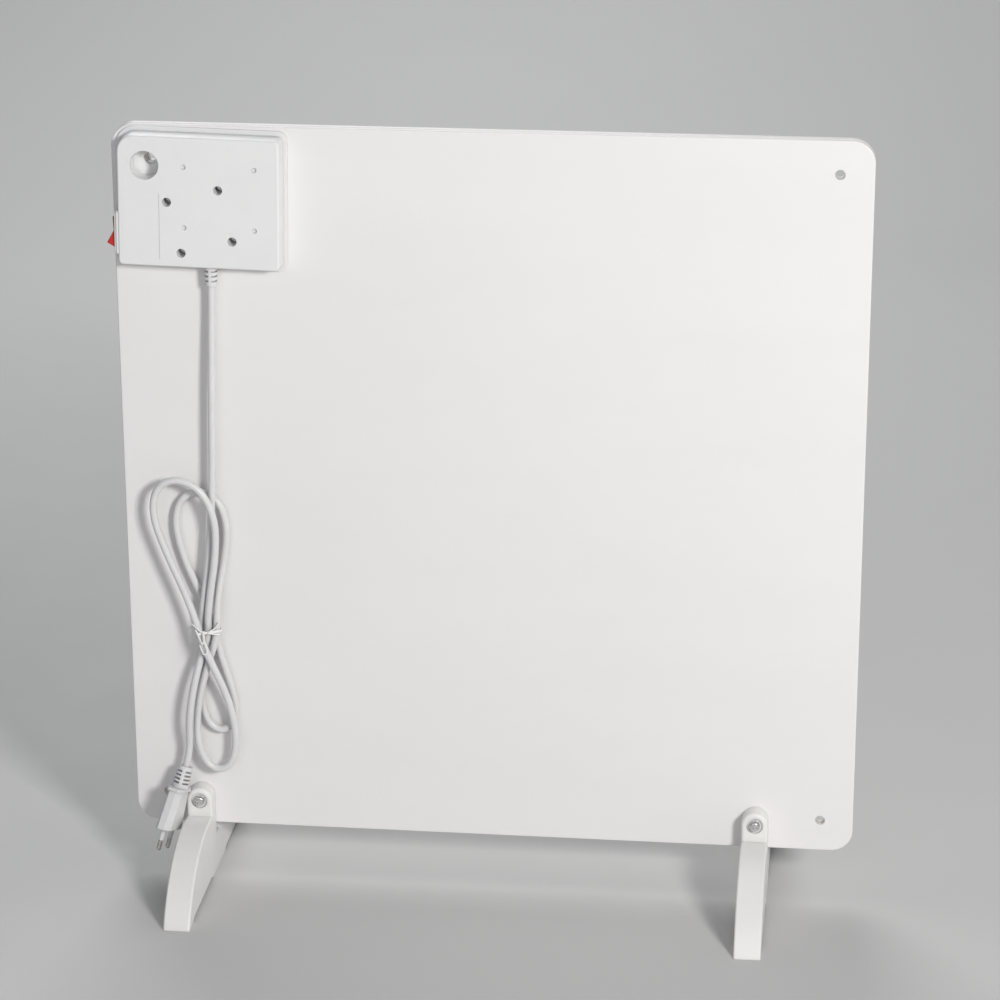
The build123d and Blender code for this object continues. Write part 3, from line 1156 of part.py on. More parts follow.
with BuildPart() as foot_screws:
    with BuildSketch(back_plane(HEAD_SEAT)):
        with Locations(*[spot(x, z) for x, z in FOOT_SCREWS]):
            Circle(FOOT_HEAD_DIA / 2)
    extrude(amount=FOOT_HEAD_THICK)
    fillet(foot_screws.faces().group_by(Axis.Y)[-1].edges(), FOOT_HEAD_ROUND)
    with BuildSketch(back_plane(HEAD_SEAT)):
        with Locations(*[spot(x, z) for x, z in FOOT_SCREWS]):
            Circle(FOOT_SCREW_DIA / 2)
    extrude(amount=-(HEAD_SEAT - PANEL_BACK + FOOT_INSERT_LENGTH - 1))
    with BuildSketch(back_plane(HEAD_SEAT + FOOT_HEAD_THICK)):
        with Locations(*[spot(x, z) for x, z in FOOT_SCREWS]):
            Rectangle(CROSS_SPAN, CROSS_WIDTH)
            Rectangle(CROSS_WIDTH, CROSS_SPAN)
    extrude(amount=-CROSS_DEPTH, mode=Mode.SUBTRACT)
keep("foot_screws", foot_screws)

# Soft pads in the slots, under the panel's lower edge
with BuildPart() as foot_pads:
    with BuildSketch(Plane.XY.offset(SLOT_FLOOR)):
        with Locations(*[(x, PANEL_MID_Y) for x in FEET.values()]):
            Rectangle(PAD_LENGTH, PANEL_THICK)
    extrude(amount=FLOOR_GAP - SLOT_FLOOR)
keep("foot_pads", foot_pads)


PLUG_PLANE = Plane(origin=PLUG_TOP, x_dir=PLUG_SIDE, z_dir=PLUG_AXIS)


def loop_points(start, end, loop):
    """Points of one loop, out from its slot at the tie, round, and back to the next slot."""
    direction, reach, half_width, lean, depth = loop
    peak = max(
        math.sin(a) * math.sin(a / 2) ** LOOP_SHARPNESS
        for a in [math.pi * i / 200 for i in range(201)]
    )
    points = []
    for step in range(1, LOOP_POINTS):
        angle = 2 * math.pi * step / LOOP_POINTS
        share = (1 - math.cos(angle)) / 2
        across = -half_width * math.sin(angle) * abs(math.sin(angle / 2)) ** LOOP_SHARPNESS / peak
        slot_u, slot_y = start if step < LOOP_POINTS / 2 else end
        away = min(1.0, share / WAIST_SHARE)
        away = away * away * (3 - 2 * away)
        sunk = min(1.0, share / DEPTH_SHARE)
        sunk = sunk**DEPTH_POWER if slot_y > depth else 1 - (1 - sunk) ** DEPTH_POWER
        u = across + lean * share + slot_u * (1 - away)
        y = slot_y * (1 - sunk) + depth * sunk
        points.append((TIE_X - u, y, TIE_Z + direction * reach * share))
    return points


def beyond(before, point, distance):
    """Point in line with two others, a distance past the second."""
    run = Vector(*point) - Vector(*before)
    return tuple(Vector(*point) + run.normalized() * distance)


def tie_point(slot):
    """Point where the cord passes the tie."""
    return (TIE_X - slot[0], slot[1], TIE_Z)


def hank_route():
    """Route of the bundled cord, from the straight lead to where the tail leaves the tie."""
    points = [LEAD_END, beyond(LEAD_LAST_BEND, LEAD_END, HANK_FIRST_RUN)] + HANK_START
    points.append(tie_point(TIE_SLOTS[0]))
    for loop, start, end in zip(LOOPS, TIE_SLOTS, TIE_SLOTS[1:]):
        points += loop_points(start, end, loop)
        points.append(tie_point(end))
    points += HANK_END
    return points


def least_gap(path, diameter, skip):
    """Least gap of a tube to itself, on points along it, leaving near neighbours out."""
    count = int(path.length / 2)
    spots = [path @ (i / count) for i in range(count + 1)]
    least = 1e9
    place = None
    for i, here in enumerate(spots):
        for there in spots[i + skip:]:
            gap = (here - there).length
            if gap < least:
                least = gap
                place = here
    return least - diameter, place


LEAD_ROUTE = [
    tuple(box_point(RELIEF_U, SHEATH_END_V, CORD_W)),
    tuple(box_point(RELIEF_U, RELIEF_V - RELIEF_LENGTH - RELIEF_LEAD_OUT, CORD_W)),
    LEAD_LAST_BEND,
    LEAD_END,
]
TAIL_ROUTE = [
    HANK_END[-1],
    beyond(HANK_END[-2], HANK_END[-1], TAIL_FIRST_RUN),
    TAIL_MIDDLE,
    tuple(PLUG_PLANE.from_local_coords(Vector(0, 0, -BOOT_LENGTH - BOOT_LEAD_IN))),
    tuple(PLUG_PLANE.from_local_coords(Vector(0, 0, -BOOT_LENGTH))),
]

# Cord from the block to the bundle
cord_lead, lead_line = tube("cord_lead", LEAD_ROUTE, CORD_DIA)
keep("cord_lead", cord_lead)

# Bundled cord
cord_hank, hank_line = tube("cord_hank", hank_route(), CORD_DIA)
keep("cord_hank", cord_hank)
hank_gap, gap_place = least_gap(hank_line, CORD_DIA, 12)
print(f"least gap of the bundle to itself {hank_gap:.2f} mm at {[round(c) for c in gap_place]}")

# Cord from the bundle to the plug
cord_tail, tail_line = tube("cord_tail", TAIL_ROUTE, CORD_DIA)
keep("cord_tail", cord_tail)

# Wire tie round the bundle, with its twisted end
TIE_PLANE = Plane.XY.offset(TIE_Z - TIE_WIRE_DIA / 2)
TIE_SPOTS = [(TIE_X - u, y) for u, y in TIE_SLOTS]
with BuildPart() as twist_tie:
    with BuildSketch(TIE_PLANE):
        with Locations(*TIE_SPOTS):
            Circle(CORD_DIA / 2 + TIE_PLAY + TIE_WIRE_DIA)
        make_hull()
    extrude(amount=TIE_WIRE_DIA)
    with BuildSketch(TIE_PLANE):
        with Locations(*TIE_SPOTS):
            Circle(CORD_DIA / 2 + TIE_PLAY)
        make_hull()
    extrude(amount=TIE_WIRE_DIA, mode=Mode.SUBTRACT)
    with BuildLine() as twist:
        FilletPolyline(*TWIST_ROUTE, radius=TWIST_BENDS)
    with BuildSketch(Plane(origin=twist.line @ 0, z_dir=twist.line % 0)):
        Circle(TIE_WIRE_DIA / 2)
    sweep(path=twist.line)
keep("twist_tie", twist_tie)


def plug_section(width, thick, edge):
    """Corners of the plug's flat eight-sided section, wide along the plane's own x."""
    flat = width - PLUG_CHAMFER * 2
    return [
        (width / 2, edge / 2),
        (flat / 2, thick / 2),
        (-flat / 2, thick / 2),
        (-width / 2, edge / 2),
        (-width / 2, -edge / 2),
        (-flat / 2, -thick / 2),
        (flat / 2, -thick / 2),
        (width / 2, -edge / 2),
    ]


# Plug body
with BuildPart() as plug_body:
    with BuildSketch(PLUG_PLANE):
        with BuildLine():
            Polyline(*plug_section(PLUG_TOP_WIDTH, PLUG_TOP_THICK, PLUG_EDGE_THICK), close=True)
        make_face()
    with BuildSketch(PLUG_PLANE.offset(PLUG_BODY_LENGTH)):
        with BuildLine():
            Polyline(*plug_section(PLUG_WIDTH, PLUG_THICK, PLUG_EDGE_THICK), close=True)
        make_face()
    loft(ruled=True)
    with BuildSketch(PLUG_PLANE.offset(PLUG_BODY_LENGTH)):
        with GridLocations(PIN_PITCH, PIN_PITCH, 2, 1):
            Circle(PIN_NECK_DIA / 2)
    extrude(amount=-PIN_ROOT, mode=Mode.SUBTRACT)
keep("plug_body", plug_body)

# Slotted boot of the plug, with a flat collar on the body
with BuildPart() as plug_boot:
    with BuildSketch(PLUG_PLANE.offset(-BOOT_LENGTH)):
        Circle(BOOT_END_DIA / 2)
    with BuildSketch(PLUG_PLANE):
        Circle(BOOT_ROOT_DIA / 2)
    loft()
    with BuildSketch(PLUG_PLANE):
        with BuildLine():
            Polyline(
                *plug_section(
                    PLUG_TOP_WIDTH + 2 * BOOT_COLLAR_PROUD,
                    PLUG_TOP_THICK + 2 * BOOT_COLLAR_PROUD,
                    PLUG_EDGE_THICK + 2 * BOOT_COLLAR_PROUD,
                ),
                close=True,
            )
        make_face()
    extrude(amount=-BOOT_COLLAR_THICK)
    for row in range(BOOT_SLOTS):
        with BuildSketch(PLUG_PLANE.offset(-BOOT_FIRST_SLOT - row * BOOT_PITCH)):
            Circle(BOOT_ROOT_DIA)
            Rectangle(BOOT_SPINE, 3 * BOOT_ROOT_DIA, rotation=BOOT_TURN, mode=Mode.SUBTRACT)
            Circle(BOOT_CORE_DIA / 2, mode=Mode.SUBTRACT)
        extrude(amount=-BOOT_SLOT, mode=Mode.SUBTRACT)
keep("plug_boot", plug_boot)

# Pins and their insulating sleeves
with BuildPart() as plug_pins:
    with BuildSketch(PLUG_PLANE.offset(PLUG_BODY_LENGTH - PIN_ROOT)):
        with GridLocations(PIN_PITCH, PIN_PITCH, 2, 1):
            Circle(PIN_NECK_DIA / 2)
    extrude(amount=PIN_ROOT + SLEEVE_LENGTH)
    with BuildSketch(PLUG_PLANE.offset(PLUG_BODY_LENGTH + SLEEVE_LENGTH)):
        with GridLocations(PIN_PITCH, PIN_PITCH, 2, 1):
            Circle(PIN_DIA / 2)
    extrude(amount=PIN_LENGTH - SLEEVE_LENGTH)
    pin_ends = plug_pins.faces().sort_by(Axis((0, 0, 0), PLUG_AXIS))[-2:]
    fillet(pin_ends.edges(), PIN_END_ROUND)
keep("plug_pins", plug_pins)

with BuildPart() as plug_sleeves:
    with BuildSketch(PLUG_PLANE.offset(PLUG_BODY_LENGTH)):
        with GridLocations(PIN_PITCH, PIN_PITCH, 2, 1):
            Circle(PIN_DIA / 2)
            Circle(PIN_NECK_DIA / 2, mode=Mode.SUBTRACT)
    extrude(amount=SLEEVE_LENGTH)
keep("plug_sleeves", plug_sleeves)

os.makedirs("parts", exist_ok=True)
for name, shape in pieces.items():
    export_step(shape, f"parts/{name}.step")
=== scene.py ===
"""Studio scene of the convector panel heater, seen from behind as in its photograph.

Metres, +Z up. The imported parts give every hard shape. This script gives them their surfaces,
winds the supply cord and its tie as smooth lines, and sets the light and the camera.
"""

import math

import bmesh
import bpy
from mathutils import Matrix, Vector


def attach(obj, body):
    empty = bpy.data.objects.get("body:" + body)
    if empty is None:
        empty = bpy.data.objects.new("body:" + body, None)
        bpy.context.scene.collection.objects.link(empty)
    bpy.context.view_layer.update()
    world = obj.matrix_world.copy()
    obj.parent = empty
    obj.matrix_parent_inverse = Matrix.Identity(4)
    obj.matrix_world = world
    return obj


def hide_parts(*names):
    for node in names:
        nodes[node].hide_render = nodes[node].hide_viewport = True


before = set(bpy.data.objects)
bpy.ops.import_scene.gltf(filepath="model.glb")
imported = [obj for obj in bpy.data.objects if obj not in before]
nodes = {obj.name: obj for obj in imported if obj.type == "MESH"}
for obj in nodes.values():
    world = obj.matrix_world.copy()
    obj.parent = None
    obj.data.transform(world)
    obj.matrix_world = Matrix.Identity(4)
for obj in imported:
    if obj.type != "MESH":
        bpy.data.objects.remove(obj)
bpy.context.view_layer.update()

MM = 0.001
BODY = "heater"

# Supply cord
CORD_DIA = 6.0 * MM
BACK_LAYER = 11.9
MIDDLE_LAYER = 18.5
FRONT_LAYER = 25.0
LOOP_POINTS = 12
LOOP_SHARPNESS = 2.0
WAIST_SHARE = 0.42
DEPTH_SHARE = 0.5
DEPTH_POWER = 2.5

# The tie, and the places where the cord passes it: right of the tie's middle, and depth
TIE_X = 232.1
TIE_Z = 221.8
TIE_WIRE_DIA = 1.15 * MM
TIE_SLOTS = [
    (-8.0, 13.5),
    (3.0, 10.6),
    (7.2, 18.8),
    (-6.0, 26.4),
    (0.3, 18.5),
]

# Loops in the order of the cord: up or down, reach, half width, lean, depth
LOOPS = [
    (-1, 93.3, 14.5, 7.5, BACK_LAYER),
    (1, 119.0, 22.0, -6.0, BACK_LAYER),
    (-1, 127.0, 17.0, 5.5, MIDDLE_LAYER),
    (1, 133.0, 26.0, -21.5, FRONT_LAYER),
]

# Camera, from the fit to the panel's outline
CAMERA_PLACE = (-0.3050, 2.5745, 1.2529)
CAMERA_YAW = 6.593
CAMERA_PITCH = 19.463
CAMERA_ROLL = -0.154
FOCAL_PIXELS = 3399.7
PHOTO_SIDE = 1000
SENSOR_WIDTH = 36.0


def link(tree, source, target):
    tree.links.new(source, target)


def add_node(tree, kind, **values):
    """A shader node with its inputs set by name."""
    node = tree.nodes.new(kind)
    for name, value in values.items():
        node.inputs[name.replace("_", " ")].default_value = value
    return node


def noise(tree, place, scale, detail=4.0, rough=0.55):
    """A noise texture on a place vector."""
    node = add_node(tree, "ShaderNodeTexNoise", Scale=scale, Detail=detail, Roughness=rough)
    link(tree, place, node.inputs["Vector"])
    return node.outputs["Fac"]


def spread(tree, value, low, high, source_low=0.3, source_high=0.7):
    """A 0-1 pattern mapped to a range."""
    node = tree.nodes.new("ShaderNodeMapRange")
    node.inputs["From Min"].default_value = source_low
    node.inputs["From Max"].default_value = source_high
    node.inputs["To Min"].default_value = low
    node.inputs["To Max"].default_value = high
    link(tree, value, node.inputs["Value"])
    return node.outputs["Result"]


def scaled(colour, factor):
    return tuple(min(1.0, c * factor) for c in colour) + (1.0,)


def surface(
    name,
    colour,
    rough,
    metal=0.0,
    mottle=0.02,
    mottle_scale=18.0,
    rough_swing=0.06,
    grain_scale=1400.0,
    grain_height=0.02,
    stretch=(1.0, 1.0, 1.0),
    edge=0.0,
    coat=0.0,
    subsurface=0.0,
    crease_shade=0.0,
):
    """A moulded, glazed, painted or metal surface, with its grain, mottle and worn gloss.

    The grain's height and the edge radius are in millimetres, and the scales per metre.
    """
    material = bpy.data.materials.new(name)
    material.use_nodes = True
    tree = material.node_tree
    tree.nodes.clear()
    out = tree.nodes.new("ShaderNodeOutputMaterial")
    shader = tree.nodes.new("ShaderNodeBsdfPrincipled")
    link(tree, shader.outputs["BSDF"], out.inputs["Surface"])
    shader.inputs["Metallic"].default_value = metal
    shader.inputs["Coat Weight"].default_value = coat
    shader.inputs["Coat Roughness"].default_value = 0.12
    shader.inputs["Subsurface Weight"].default_value = subsurface
    shader.inputs["Subsurface Radius"].default_value = (0.004, 0.003, 0.002)
    shader.inputs["Subsurface Scale"].default_value = 0.5

    place = tree.nodes.new("ShaderNodeTexCoord")
    mapping = tree.nodes.new("ShaderNodeMapping")
    mapping.inputs["Scale"].default_value = stretch
    link(tree, place.outputs["Object"], mapping.inputs["Vector"])
    vector = mapping.outputs["Vector"]

    tint = tree.nodes.new("ShaderNodeMix")
    tint.data_type = "RGBA"
    tint.inputs["A"].default_value = scaled(colour, 1 - mottle)
    tint.inputs["B"].default_value = scaled(colour, 1 + mottle)
    link(tree, spread(tree, noise(tree, vector, mottle_scale, 6.0), 0.0, 1.0), tint.inputs["Factor"])
    colour_out = tint.outputs["Result"]
    # Painted shade: an ambient occlusion mask darkens the colour in creases, recesses and where other parts
    # come close, in place of contact shadows.
    if crease_shade:
        ground = tree.nodes.new("ShaderNodeAmbientOcclusion")
        ground.inputs["Distance"].default_value = 0.006
        ground.samples = 6
        dim = tree.nodes.new("ShaderNodeMix")
        dim.data_type = "RGBA"
        dim.inputs["A"].default_value = scaled(colour, 1 - crease_shade)
        link(tree, colour_out, dim.inputs["B"])
        link(tree, ground.outputs["AO"], dim.inputs["Factor"])
        colour_out = dim.outputs["Result"]
    link(tree, colour_out, shader.inputs["Base Color"])

    worn = noise(tree, vector, mottle_scale * 7, 5.0)
    link(tree, spread(tree, worn, rough - rough_swing, rough + rough_swing), shader.inputs["Roughness"])

    bump = tree.nodes.new("ShaderNodeBump")
    bump.inputs["Strength"].default_value = 1.0
    bump.inputs["Distance"].default_value = grain_height * MM
    link(tree, noise(tree, vector, grain_scale, 3.0, 0.6), bump.inputs["Height"])
    if edge:
        soft = tree.nodes.new("ShaderNodeBevel")
        soft.samples = 4
        soft.inputs["Radius"].default_value = edge * MM
        link(tree, soft.outputs["Normal"], bump.inputs["Normal"])
    link(tree, bump.outputs["Normal"], shader.inputs["Normal"])
    return material


def woven(name, colour, dark, turns, rough):
    """A braided sleeve: two crossing sets of threads, raised and tinted by a wave each."""
    material = surface(name, colour, rough, mottle=0.05, mottle_scale=60.0)
    tree = material.node_tree
    shader = next(n for n in tree.nodes if n.type == "BSDF_PRINCIPLED")
    place = next(n for n in tree.nodes if n.type == "TEX_COORD").outputs["Object"]
    heights = []
    for lean in (1.0, -1.0):
        turned = tree.nodes.new("ShaderNodeMapping")
        turned.inputs["Rotation"].default_value = (0.0, lean * math.radians(45), lean * math.radians(45))
        link(tree, place, turned.inputs["Vector"])
        wave = tree.nodes.new("ShaderNodeTexWave")
        wave.inputs["Scale"].default_value = turns
        wave.inputs["Distortion"].default_value = 0.3
        link(tree, turned.outputs["Vector"], wave.inputs["Vector"])
        heights.append(wave.outputs["Fac"])
    weave = tree.nodes.new("ShaderNodeMath")
    weave.operation = "MAXIMUM"
    link(tree, heights[0], weave.inputs[0])
    link(tree, heights[1], weave.inputs[1])
    tint = tree.nodes.new("ShaderNodeMix")
    tint.data_type = "RGBA"
    tint.inputs["A"].default_value = dark + (1.0,)
    tint.inputs["B"].default_value = colour + (1.0,)
    link(tree, weave.outputs["Value"], tint.inputs["Factor"])
    link(tree, tint.outputs["Result"], shader.inputs["Base Color"])
    bump = next(n for n in tree.nodes if n.type == "BUMP")
    bump.inputs["Distance"].default_value = 0.08 * MM
    link(tree, weave.outputs["Value"], bump.inputs["Height"])
    return material


GLAZE = (0.82, 0.802, 0.797)
COOL_WHITE = (0.80, 0.80, 0.797)
WARM_WHITE = (0.80, 0.788, 0.768)
CORD_WHITE = (0.70, 0.70, 0.70)
ZINC = (0.70, 0.70, 0.69)
BRASS = (0.66, 0.50, 0.25)
TIE_WHITE = (0.86, 0.86, 0.845)
STUDIO_GREY = (0.56, 0.56, 0.555)

glaze = surface(
    "panel_glaze", GLAZE, 0.42, mottle=0.012, mottle_scale=9.0, grain_scale=520.0,
    grain_height=0.012, stretch=(0.5, 1.0, 1.6), edge=0.8,
)
seal = surface("edge_seal", (0.60, 0.59, 0.57), 0.7, mottle=0.06, mottle_scale=90.0, edge=0.3)
carrier = surface("carrier_fibre", (0.55, 0.52, 0.45), 0.9, mottle=0.12, grain_scale=700.0)
ribbon = surface(
    "heater_strip", (0.45, 0.43, 0.40), 0.38, metal=1.0, mottle=0.1, stretch=(60.0, 1.0, 1.0)
)
# Finishes given a shade strength get painted shade that darkens their creases and the places where other
# parts come close.
box_plastic = surface(
    "box_moulding", COOL_WHITE, 0.46, mottle=0.012, mottle_scale=26.0, grain_scale=2100.0,
    grain_height=0.03, edge=0.6, subsurface=0.05, crease_shade=0.25,
)
foot_plastic = surface(
    "foot_moulding", WARM_WHITE, 0.4, mottle=0.02, mottle_scale=22.0, grain_scale=1500.0,
    grain_height=0.022, edge=1.1, subsurface=0.06, crease_shade=0.2,
)
relief_plastic = surface(
    "relief_moulding", CORD_WHITE, 0.5, mottle=0.02, grain_scale=1800.0, edge=0.25, subsurface=0.1,
    crease_shade=0.5,
)
cord_plastic = surface(
    "cord_sheath", CORD_WHITE, 0.36, mottle=0.025, mottle_scale=45.0, grain_scale=2600.0,
    grain_height=0.01, subsurface=0.12, crease_shade=0.3,
)
plug_plastic = surface(
    "plug_moulding", CORD_WHITE, 0.42, mottle=0.02, mottle_scale=60.0, grain_scale=2300.0,
    grain_height=0.02, edge=0.9, subsurface=0.1, crease_shade=0.45,
)
tie_plastic = surface("tie_skin", TIE_WHITE, 0.32, mottle=0.04)
rocker_red = surface(
    "rocker_red", (0.52, 0.018, 0.014), 0.24, mottle=0.08, mottle_scale=120.0, grain_height=0.006,
    edge=0.35, coat=0.5,
)
switch_plastic = surface("switch_moulding", (0.70, 0.70, 0.69), 0.34, edge=0.3, crease_shade=0.3)
zinc = surface(
    "zinc_plate", ZINC, 0.2, metal=1.0, mottle=0.07, mottle_scale=240.0, rough_swing=0.07,
    grain_scale=3200.0, grain_height=0.012, edge=0.25,
)
nickel = surface(
    "pin_nickel", (0.66, 0.64, 0.60), 0.26, metal=1.0, mottle=0.05, mottle_scale=300.0,
    grain_scale=4000.0, grain_height=0.008, stretch=(1.0, 1.0, 0.15), edge=0.3,
)
brass = surface(
    "brass", BRASS, 0.34, metal=1.0, mottle=0.1, mottle_scale=200.0, grain_scale=2600.0, edge=0.2
)
copper = surface("copper_strip", (0.60, 0.33, 0.17), 0.32, metal=1.0, mottle=0.1, edge=0.2)
silicone = surface("silicone", (0.50, 0.50, 0.48), 0.62, mottle=0.05, mottle_scale=80.0, edge=0.3)
pad_rubber = surface("pad_rubber", (0.45, 0.45, 0.43), 0.75, mottle=0.07, grain_height=0.06)
block_plastic = surface("block_moulding", (0.74, 0.69, 0.58), 0.32, mottle=0.03, edge=0.3)
cutout_black = surface("cutout_moulding", (0.03, 0.03, 0.032), 0.45, mottle=0.2, edge=0.3)
brown_wire = surface("brown_wire", (0.13, 0.045, 0.018), 0.36, mottle=0.08, grain_height=0.008)
blue_wire = surface("blue_wire", (0.02, 0.06, 0.28), 0.36, mottle=0.08, grain_height=0.008)
lead_sleeve = woven("lead_sleeve", (0.66, 0.64, 0.58), (0.42, 0.40, 0.35), 420.0, 0.8)

FINISHES = {
    "front_plate": glaze,
    "back_plate": glaze,
    "edge_seal": seal,
    "heating_element": ribbon,
    "element_sheet": carrier,
    "foot_inserts": brass,
    "box_inserts": brass,
    "lead_grommet": silicone,
    "control_box": box_plastic,
    "box_screws": zinc,
    "terminal_block": block_plastic,
    "terminal_clamps": brass,
    "terminal_screws": zinc,
    "block_screws": zinc,
    "cord_clamp": block_plastic,
    "clamp_screws": zinc,
    "thermal_cutout": cutout_black,
    "cutout_tabs": brass,
    "cutout_spring": zinc,
    "lead_wires": lead_sleeve,
    "switch_wires": brown_wire,
    "cord_cores": blue_wire,
    "strain_relief": relief_plastic,
    "switch_housing": switch_plastic,
    "switch_rocker": rocker_red,
    "rocker_plunger": zinc,
    "contact_lever": copper,
    "switch_fulcrum": copper,
    "switch_terminals": brass,
    "foot_left": foot_plastic,
    "foot_right": foot_plastic,
    "foot_washers": zinc,
    "foot_screws": zinc,
    "foot_pads": pad_rubber,
    "cord_lead": cord_plastic,
    "cord_hank": cord_plastic,
    "cord_tail": cord_plastic,
    "twist_tie": tie_plastic,
    "plug_body": plug_plastic,
    "plug_boot": plug_plastic,
    "plug_pins": nickel,
    "plug_sleeves": plug_plastic,
}
for name, finish in FINISHES.items():
    mesh = nodes[name].data
    mesh.materials.clear()
    mesh.materials.append(finish)


def beyond(before, point, distance):
    """Point in line with two others, a distance past the second."""
    run = Vector(point) - Vector(before)
    return tuple(Vector(point) + run.normalized() * distance)


def loop_points(start, end, loop):
    """Points of one loop, out from its place at the tie, round, and back to the next place."""
    direction, reach, half_width, lean, depth = loop
    peak = max(
        math.sin(a) * math.sin(a / 2) ** LOOP_SHARPNESS
        for a in [math.pi * i / 200 for i in range(201)]
    )
    points = []
    for step in range(1, LOOP_POINTS):
        angle = 2 * math.pi * step / LOOP_POINTS
        share = (1 - math.cos(angle)) / 2
        across = -half_width * math.sin(angle) * abs(math.sin(angle / 2)) ** LOOP_SHARPNESS / peak
        slot_u, slot_y = start if step < LOOP_POINTS / 2 else end
        away = min(1.0, share / WAIST_SHARE)
        away = away * away * (3 - 2 * away)
        sunk = min(1.0, share / DEPTH_SHARE)
        sunk = sunk**DEPTH_POWER if slot_y > depth else 1 - (1 - sunk) ** DEPTH_POWER
        u = across + lean * share + slot_u * (1 - away)
        y = slot_y * (1 - sunk) + depth * sunk
        points.append((TIE_X - u, y, TIE_Z + direction * reach * share))
    return points


def tie_point(slot):
    """Point where the cord passes the tie."""
    return (TIE_X - slot[0], slot[1], TIE_Z)


LINE_ROUNDNESS = 6
LINE_STEPS = 10


def line_through(name, points, diameter, finish, closed=False):
    """A smooth round line with these control points, given in millimetres."""
    curve = bpy.data.curves.new(name, "CURVE")
    curve.dimensions = "3D"
    curve.bevel_depth = diameter / 2
    curve.bevel_resolution = LINE_ROUNDNESS
    curve.resolution_u = LINE_STEPS
    curve.use_fill_caps = True
    spline = curve.splines.new("NURBS")
    spline.points.add(len(points) - 1)
    for control, point in zip(spline.points, points):
        control.co = (point[0] * MM, point[1] * MM, point[2] * MM, 1.0)
    spline.order_u = 3
    if closed:
        spline.use_cyclic_u = True
    else:
        spline.use_endpoint_u = True
    obj = bpy.data.objects.new(name, curve)
    bpy.context.scene.collection.objects.link(obj)
    curve.materials.append(finish)
    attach(obj, BODY)
    return obj


# Straight lead from the box, the bundle, and the tail to the plug
LEAD_LAST_BEND = (223.2, MIDDLE_LAYER, 430.0)
LEAD_END = (224.4, MIDDLE_LAYER, 372.0)
SHEATH_END = (220.73, 15.0, 546.15)
LEAD_OUT = (221.71, 15.0, 496.71)
HANK_FIRST_RUN = 22.0
HANK_START = [
    (227.1, MIDDLE_LAYER, 315.0),
    (230.1, MIDDLE_LAYER, 280.0),
    (235.0, 19.6, 247.0),
]
HANK_END = [(234.5, 19.1, 210.0), (238.5, 21.0, 198.0), (241.5, 23.2, 186.0)]
TAIL_FIRST_RUN = 14.0
TAIL_MIDDLE = (249.5, 26.3, 142.0)
TAIL_LEAD_IN = (250.75, 18.05, 112.65)
BOOT_END = (254.25, 21.83, 99.63)

cord_lead = line_through(
    "supply_cord_lead", [SHEATH_END, LEAD_OUT, LEAD_LAST_BEND, LEAD_END], CORD_DIA, cord_plastic
)
hank_points = [LEAD_END, beyond(LEAD_LAST_BEND, LEAD_END, HANK_FIRST_RUN)] + HANK_START
hank_points.append(tie_point(TIE_SLOTS[0]))
for loop, start, end in zip(LOOPS, TIE_SLOTS, TIE_SLOTS[1:]):
    hank_points += loop_points(start, end, loop)
    hank_points.append(tie_point(end))
hank_points += HANK_END
cord_hank = line_through("supply_cord_hank", hank_points, CORD_DIA, cord_plastic)
tail_points = [
    HANK_END[-1],
    beyond(HANK_END[-2], HANK_END[-1], TAIL_FIRST_RUN),
    TAIL_MIDDLE,
    TAIL_LEAD_IN,
    BOOT_END,
]
cord_tail = line_through("supply_cord_tail", tail_points, CORD_DIA, cord_plastic)
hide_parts("cord_lead")
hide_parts("cord_hank")
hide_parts("cord_tail")

# Twist tie: two turns round the strands, a twisted pair in front, and the wire's free ends
TIE_PLAY = 0.25
TIE_TURN_GAP = 1.0
TWIST_TURNS = 3
RING_CORNERS = 24
ring_half = CORD_DIA / MM / 2 + TIE_PLAY + TIE_WIRE_DIA / MM / 2


def ring_points(z, half):
    """Corners of a taut ring round the strands at a height."""
    spots = [Vector((TIE_X - u, y)) for u, y in TIE_SLOTS]
    corners = []
    for step in range(RING_CORNERS):
        angle = 2 * math.pi * step / RING_CORNERS
        way = Vector((math.cos(angle), math.sin(angle)))
        far = max(spots, key=lambda spot: spot.dot(way))
        corners.append((far.x + way.x * half, far.y + way.y * half, z))
    return corners


lower_turn = ring_points(TIE_Z - TIE_TURN_GAP / 2, ring_half)
upper_turn = ring_points(TIE_Z + TIE_TURN_GAP / 2, ring_half)
tie_rings = [
    line_through(f"twist_tie_turn_{i}", points, TIE_WIRE_DIA, tie_plastic, closed=True)
    for i, points in enumerate((lower_turn, upper_turn))
]
TWIST_RADIUS = 0.62
TWIST_STEPS = 8
TWIST_TOP = Vector((233.7, 31.2, 224.6))
TWIST_END = Vector((233.2, 32.0, 214.6))


def twisted(phase):
    """Control points of one wire of the twisted pair, from the tie down to its end."""
    points = []
    steps = TWIST_TURNS * TWIST_STEPS
    for step in range(steps + 1):
        turn = 2 * math.pi * step / TWIST_STEPS + phase
        middle = TWIST_TOP.lerp(TWIST_END, step / steps)
        points.append(
            (middle.x + TWIST_RADIUS * math.cos(turn), middle.y + TWIST_RADIUS * math.sin(turn), middle.z)
        )
    return points


# Free ends of the tie: two below the twist, one at the left and two at the right
TIE_ENDS = {
    "long": twisted(0.0)
    + [(235.0, 32.8, 214.0), (236.4, 32.6, 218.0), (237.9, 32.2, 221.4), (240.2, 31.2, 225.6)],
    "short": twisted(math.pi)
    + [
        (231.6, 32.4, 212.6),
        (230.4, 32.2, 209.4),
        (230.9, 32.3, 205.8),
        (233.4, 32.8, 204.4),
        (235.2, 33.0, 208.2),
        (236.8, 32.8, 213.0),
    ],
    "left": [(234.4, 30.9, 223.2), (237.0, 31.2, 225.0), (240.2, 30.4, 227.8), (243.8, 27.6, 229.4)],
    "right_upper": [(230.4, 28.0, 222.6), (227.0, 26.6, 224.4), (224.2, 25.2, 226.4), (221.6, 24.6, 230.6)],
    "right_lower": [(230.6, 28.6, 222.0), (227.1, 26.8, 221.2), (224.6, 25.4, 220.0), (221.6, 24.6, 219.9)],
}
